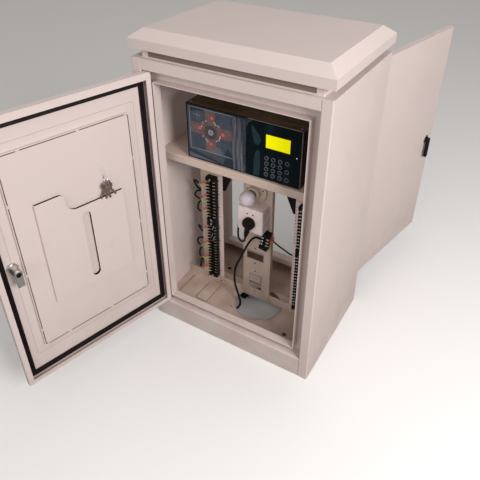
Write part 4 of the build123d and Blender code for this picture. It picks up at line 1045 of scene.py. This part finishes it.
class CABINET_OT_junction(CabinetPiece, bpy.types.Operator):
    """Build the junction block with its barriers and screws, and its wires"""

    bl_idname = "cabinet.junction"
    bl_label = "Junction block"

    def execute(self, context):
        tilt = math.radians(9)
        plane = origin, across, up, out = basis((35.5, PLATE_FACE, 316), FRONT, (math.sin(tilt), 0, math.cos(tilt)))

        def place(x, y, z):
            """A point of the block's own plane."""
            return origin + x * across + y * up + z * out

        def part(x, y, z, width, height, depth):
            """A rounded bar on the block's own plane."""
            return plate(width, height, depth, 1.0, 0.5, (place(x, y, z), *plane[1:]))

        body = [part(0, 1, 0, 29, 67, 11), part(0, 27, 10.8, 27, 15, 9), part(0, -26, 10.8, 29, 13, 9),
                part(0, 0, 10.8, 5, 38, 7), *(part(0, y, 10.8, 28.4, 2, 8.4) for y in (-18.7, -6.2, 6.2, 18.7))]
        piece("junction_body", body, "black_plastic", ["junction_block"])
        wells = [(x, y) for x in (-8.8, 8.8) for y in (-12.4, 0, 12.4)]
        cages = [part(x, y, 10.8, 9.4, 8.6, 3.4) for x, y in wells]
        heads = [screw_head(place(x, y, 14.2), 4.1, 3.2, 0.12 * x + 0.2, cross=False) for x, y in wells]
        piece("junction_screws", cages + heads, "bright_steel")
        piece("junction_fixings", [screw_head(place(0, y, 19.8), 2.4, 0.9) for y in (-26, 28)], "dark_steel")
        first_red = [(10, 12, 13), (15, 13, 14), (19, 20, 15), (20, 29, 14), (24, 33, 13), (27, 27, 11), (27, 19, 10),
                     (28.5, 14, 9)]
        second_red = [(10, 3, 13), (15, 4, 15), (19, 12, 16), (23, 21, 13), (26.5, 18, 11), (28.5, 13, 9)]
        orange = [(10, -12, 12), (16, -13, 12), (20.5, -8, 12), (22, 1, 12), (24, 9, 11), (26.5, 12, 10),
                  (29, 12.4, 9)]
        first_red, second_red, orange = (
            wire([place(*point) for point in run], radius)
            for run, radius in ((first_red, 1.6), (second_red, 1.5), (orange, 1.4))
        )
        piece("link_wire_red", [first_red, second_red], "red_wire", ["link_wires"])
        piece("link_wire_orange", orange, "orange_wire")
        return {"FINISHED"}


class CABINET_OT_breaker(CabinetPiece, bpy.types.Operator):
    """Detail the circuit breaker behind the lower window"""

    bl_idname = "cabinet.breaker"
    bl_label = "Circuit breaker"

    def execute(self, context):
        painted("breaker_cream", "circuit_breaker")
        gap = frame_line(45, 31, 0.15, 0.6, facing(-3, -20, 135.5), 0.4)
        piece("breaker_outline", gap, "dark_steel", smooth=False)
        # The ledges take the darker crease colour: painted shade of the breaker's dark horizontal slots
        ledges = [plate(44, 3, 6, 0.6, 0.4, facing(-3, -10, z)) for z in (116, 107)]
        piece("breaker_ledges", ledges, "crease_shade")
        return {"FINISHED"}


# A shut door: the inner faces of its sheet and of its pan, in y, and the middle of its seal and of its pan, in z
DOOR_FACE = -198
PAN_FACE = -190
SEAL_CENTRE = 468
PAN_CENTRE = 474
# The painted shade in the pocket's openings and the middle of the weld beads lie this far in from the pan's face
SET_IN = PAN_FACE + 0.1


def inside(x, y, z, up=UP):
    """The plane that faces into the cabinet at this point of a shut door."""
    return basis((x, y, z), BACK, up)


def pan_welds():
    """Short beads where the pan meets the door: the radius swells and shrinks along each bead."""
    half, low, high = 172.6, 178.4, 769.6
    spots = [(x, z, 1) for z, row in ((low, (-172, -40, 100, 168)), (high, (-168, -30, 120))) for x in row]
    spots += [(side * half, z, 0) for side in SIDES for z in (236, 430, 640)]
    step = np.linspace(-5, 5, 13)
    beads = []
    for index, (x, z, level) in enumerate(spots):
        line = np.stack([x + step * level, np.full(13, SET_IN), z + step * (1 - level)], axis=-1)
        swell = (0.5 + 0.9 * np.sqrt(np.clip(1 - (step / 5.1) ** 2, 0, 1))) * (1 + 0.16 * np.sin(2.3 * step + index))
        beads.append(carried(circle(1.0, 10), line, swell=swell))
    return beads


def pocket_shade():
    """Painted shade inside the pocket's mouth and slot: black sheets along the outline of the opening, carried into the
    depth.
    """
    turn = np.linspace(0, np.pi / 2, 12)
    scoop = np.stack([10 + 30 * np.sin(turn), 595 - 30 * np.cos(turn), turn], axis=-1)
    crest = np.stack([54 - 14 * np.cos(turn), 607 + 14 * np.sin(turn), np.pi / 2 - turn], axis=-1)
    run = np.concatenate([[(-123, 565, 0)], scoop, crest, [(117, 621, 0)]])
    inward = np.stack([np.sin(run[:, 2]), -np.cos(run[:, 2])], axis=-1)
    rings = np.stack([
        np.insert(run[:, :2] + drop * inward, 1, level, axis=1)
        for drop, level in ((1.2, SET_IN), (1.2, -182.3), (2.0, -182.3), (2.0, SET_IN))
    ], axis=1)
    slot = frame_line(26.4, 217.4, 7.4, 0.6, inside(-9, SET_IN, 437.5), 13)
    piece("pocket_painted_shade", [ringed(rings), slot], "deep_shade", body="front_door", smooth=False)


def keys():
    """Keys fanned on a ring: heads are flat rings, blades are stepped outlines with their bits."""
    ring_x, ring_y, ring_z, ring_radius = -77.0, -176.9, 616.0, 12.0
    loop = (ring_x, ring_y, ring_z) + np.insert(circle(ring_radius, 40), 0, 0, axis=1)
    piece("key_ring", carried(circle(0.8, 10), loop, closed=True), "bright_steel", ["key_bunch"], "front_door")
    heads, blades = [], []
    blade = [(-2.8, -13), (2.8, -13), (2.8, -24), (1.7, -26), (2.8, -28), (2.8, -31), (1.3, -33.5), (2.8, -36),
             (2.8, -39), (1.4, -43), (-1.4, -44), (-2.8, -41), (-2.8, -20)]
    bow, hole = circle(1.0, 28) * (12.0, 11.0), circle(3.2, 28) + (0, 6.0)
    for place, fan in enumerate((-26, -7, 8, 31)):
        level = -180.7 + 2 * place
        drop = math.sqrt(ring_radius**2 - (level + 0.9 - ring_y) ** 2)
        lean = math.radians(fan)
        origin, *axes = inside(ring_x, level, ring_z - drop - 1.9, (math.sin(lean), 0, math.cos(lean)))
        heads.append(pierced(bow, hole, 1.8, (origin - 6 * axes[1], *axes)))
        blades.append(flat_shape(blade, 1.6, (origin + 0.1 * axes[2], *axes)))
    badge = frame_line(12, 6.5, 0.5, 1.1, inside(ring_x, -172.9, ring_z - 20), 1)
    cap = turned([(3.6, 0), (3.6, 3.4), (2.7, 4.2), (0.05, 4.4)], (ring_x - 5, ring_y + 3, ring_z - 5), 16, BACK)
    tape = plate(15, 24, 0.3, 1.5, 0.05, inside(-77, -188.9, 636, (0.2, 0, 1)))
    for name, shells, look in (
        ("key_badge", badge, "brass"), ("key_heads", heads, "key_bronze"), ("key_cap", cap, "teal_cap"),
        ("key_blades", blades, "key_bronze"), ("key_tape", tape, "clear_film"),
    ):
        piece(name, shells, look, body="front_door")


class CABINET_OT_door_fittings(CabinetPiece, bpy.types.Operator):
    """Fit the door seals, the welds of the pans, the keys and their tape"""

    bl_idname = "cabinet.door_fittings"
    bl_label = "Door fittings"

    def execute(self, context):
        path = on_plane(rounded_outline(459.4, 750.4, 5, 5), inside(0, DOOR_FACE, SEAL_CENTRE))
        section = [(-2.6, 0), (-2.6, 4.8), (-1.8, 6.5), (0, 7), (2.6, 6.8), (4.7, 5.6), (6.8, 6.8), (9.4, 7),
                   (11.2, 6.5), (12, 4.8), (12, 0)]
        # A dark line of painted shade at the foot of the pan's fold
        joint = frame_line(347.6, 593.6, 0.25, 2.6, inside(0, PAN_FACE, PAN_CENTRE), 8)
        # A faint line of painted shade along the crease outside the pan
        crease = frame_line(398, 642, 0.2, 1.3, inside(0, DOOR_FACE, PAN_CENTRE), 6)
        for door in ("front", "rear"):
            body = door + "_door"
            piece(f"{door}_seal_band", mitred(section, path, BACK), "black_rubber", [f"{door}_door_seal"], body)
            piece(f"{door}_pan_welds", pan_welds(), "coat_weld", body=body)
            piece(f"{door}_pan_joint_shade", joint, "joint_shade", body=body, smooth=False)
            piece(f"{door}_panel_crease_shade", crease, "crease_shade", body=body, smooth=False)
        pocket_shade()
        keys()
        return {"FINISHED"}


# The upper face of the floor tray
FLOOR_TOP = 50


def level_bar(width, depth, thickness, corner, edge, x, y):
    """A flat bar that lies on the floor tray."""
    return plate(width, depth, thickness, corner, edge, basis((x, y, FLOOR_TOP), UP, BACK))


class CABINET_OT_fasteners(CabinetPiece, bpy.types.Operator):
    """Set the screws of the inner frame, the floor's edges and seams, the painted shade behind the vent slots and the
    roof's sealant
    """

    bl_idname = "cabinet.fasteners"
    bl_label = "Fasteners"

    def execute(self, context):
        spots = [(-5, 262), (-5.2, 200), (-4.6, 166), (-5.2, 78)]
        spots += [(side * 188, z) for side in SIDES for z in (70, 540)]
        spots += [(side * x, z) for side in SIDES for x in (140, 196) for z in (62, 583)]
        piece("frame_screws", [screw_head((x, PLATE_FACE, z), 2.5, 1.5, z) for x, z in spots], "dark_steel")
        self.floor_trim()
        self.vents()
        return {"FINISHED"}

    def floor_trim(self):
        """Rolled edge of the cable hole, the strip over one anchor hole, a seam and a small hole in the floor."""
        rolled = [(77.3, 0), (77.6, 0.7), (78.6, 1.0), (79.4, 0.6), (79.4, 0)]
        edge = turned(rolled, (22, -39, FLOOR_TOP), 96, UP, closed=True)
        piece("floor_edges", [edge, level_bar(42, 92, 0.9, 0.8, 0.3, -157, -76)], "powder_coat_inside")
        seams = [level_bar(0.9, 92, 0.5, 0.2, 0.1, x, -76) for x in (-178.6, -135.4, -246)]
        seams.append(level_bar(44, 0.9, 0.5, 0.2, 0.1, -157, -122.4))
        seams.append(turned([(2.2, 0), (2.2, 0.2), (0.05, 0.25)], (-50, -97, FLOOR_TOP), 16, UP))
        piece("floor_seams", seams, "dark_steel", smooth=False)

    def vents(self):
        """Plates of painted shade behind the vent slots, and a bead of sealant under the roof's front edge.

        The bead is a round profile whose size and height follow a sum of three sines.
        """
        # The plates are painted shade: the coat darkened where the neck's wall lies in shadow behind the slots
        shade_plates = [plate(500, 19, 1.5, 0.5, 0.2, basis((0, side * 184, 911.5), (0, side, 0))) for side in SIDES]
        piece("vent_painted_shade", shade_plates, "recess_shade")
        along = np.linspace(60, 252, 120)
        wobble = 0.5 * np.sin(along / 3.1) + 0.4 * np.sin(along / 1.7 + 1) + 0.3 * np.sin(along * 1.9)
        line = np.stack([along, np.full(120, -190.0), 922.6 - 0.5 * wobble], axis=-1)
        piece("roof_sealant", carried(circle(1.0, 8), line, swell=1.1 + 0.45 * wobble), "sealant")


def lit_and_seen(tree, lit, seen, output):
    """Show the second shader to the camera and through glass, and the first one to all other light."""
    path = add(tree, "ShaderNodeLightPath").outputs
    rays = {0: path["Is Camera Ray"], 1: path["Is Transmission Ray"]}
    share = add(tree, "ShaderNodeMath", rays, operation="MAXIMUM").outputs["Value"]
    mix = add(tree, "ShaderNodeMixShader", {"Fac": share, 1: lit, 2: seen})
    tree.links.new(mix.outputs["Shader"], tree.nodes[output].inputs["Surface"])


class CABINET_OT_stage(CabinetPiece, bpy.types.Operator):
    """Set the floor, the light and the camera"""

    bl_idname = "cabinet.stage"
    bl_label = "Stage"

    def execute(self, context):
        scene, chosen = context.scene, context.scene.cabinet
        self.floor(12.0)
        self.surroundings(scene, chosen.sky)
        self.lamp("key", (2.25, -1.1, 1.75), (0.0, 0.0, 0.65), 1.1, chosen.key_power, (1.0, 0.96, 0.95))
        self.lamp("fill", (0.1, -3.2, 1.9), (0.0, 0.0, 0.4), 2.0, chosen.fill_power, (1.0, 0.97, 0.95))
        self.lamp("top", (0.2, 0.6, 3.4), (0.0, 0.0, 0.5), 2.5, chosen.top_power, (1.0, 0.98, 0.96))
        data = bpy.data.cameras.new("camera")
        data.sensor_width = 36
        data.lens = chosen.camera_lens
        data.shift_x, data.shift_y = chosen.camera_shift
        scene.camera = linked("camera", data)
        scene.camera.matrix_world = (
            Matrix.Translation(chosen.camera_place)
            @ Matrix.Rotation(chosen.camera_turn, 4, "Z")
            @ Matrix.Rotation(math.pi / 2 - chosen.camera_rise, 4, "X")
            @ Matrix.Rotation(chosen.camera_roll, 4, "Z")
        )
        scene.view_settings.view_transform = "Standard"
        return {"FINISHED"}

    def floor(self, half):
        """A matt floor, pale to the eye and darker for the light that it throws back."""
        mesh = bpy.data.meshes.new("studio_floor")
        mesh.from_pydata([(-half, -half, 0), (half, -half, 0), (half, half, 0), (-half, half, 0)], [], [[0, 1, 2, 3]])
        material = layered("studio_floor", (0.26, 0.26, 0.25), 0.85)
        tree = material.node_tree
        pale = add(tree, "ShaderNodeBsdfDiffuse", {"Color": (0.86, 0.86, 0.86, 1.0)})
        lit_and_seen(tree, tree.nodes["Principled BSDF"].outputs["BSDF"], pale.outputs["BSDF"], "Material Output")
        mesh.materials.append(material)
        linked("studio_floor", mesh)

    def surroundings(self, scene, strength):
        """Even warm light on the cabinet, and white wherever the camera looks past it, also through glass."""
        scene.world = bpy.data.worlds.new("studio")
        scene.world.use_nodes = True
        tree = scene.world.node_tree
        even = tree.nodes["Background"]
        even.inputs["Color"].default_value = (1.0, 0.96, 0.93, 1.0)
        even.inputs["Strength"].default_value = strength
        white = add(tree, "ShaderNodeBackground", {"Color": (0.93, 0.93, 0.93, 1.0)})
        lit_and_seen(tree, even.outputs["Background"], white.outputs["Background"], "World Output")

    def lamp(self, name, place, target, size, power, colour):
        """One square lamp that faces a point."""
        data = bpy.data.lights.new(name, "AREA")
        data.shape = "SQUARE"
        data.size = size
        data.energy = power
        data.color = colour
        lamp = linked(name, data)
        lamp.location = place
        lamp.rotation_euler = (Vector(place) - Vector(target)).to_track_quat("Z", "Y").to_euler()


OPERATORS = [
    CABINET_OT_stage,
    CABINET_OT_leads,
    CABINET_OT_sheet_metal,
    CABINET_OT_controller,
    CABINET_OT_terminals,
    CABINET_OT_terminal_wires,
    CABINET_OT_lamp,
    CABINET_OT_socket,
    CABINET_OT_junction,
    CABINET_OT_breaker,
    CABINET_OT_door_fittings,
    CABINET_OT_fasteners,
]


class CABINET_PT_panel(bpy.types.Panel):
    """Lists the steps that dress the cabinet"""

    bl_label = "Cabinet"
    bl_idname = "CABINET_PT_panel"
    bl_space_type = "VIEW_3D"
    bl_region_type = "UI"
    bl_category = "Cabinet"

    def draw(self, context):
        for operator in OPERATORS:
            self.layout.operator(operator.bl_idname)


CLASSES = [CabinetSettings, *OPERATORS, CABINET_PT_panel]


def register():
    """Add the classes and the settings."""
    for cls in CLASSES:
        bpy.utils.register_class(cls)
    bpy.types.Scene.cabinet = bpy.props.PointerProperty(type=CabinetSettings)


def unregister():
    """Take the settings and the classes away."""
    del bpy.types.Scene.cabinet
    for cls in reversed(CLASSES):
        bpy.utils.unregister_class(cls)


def main():
    """Dress the cabinet step by step."""
    register()
    for operator in OPERATORS:
        group, step = operator.bl_idname.split(".")
        getattr(getattr(bpy.ops, group), step)()


if __name__ == "__main__":
    main()
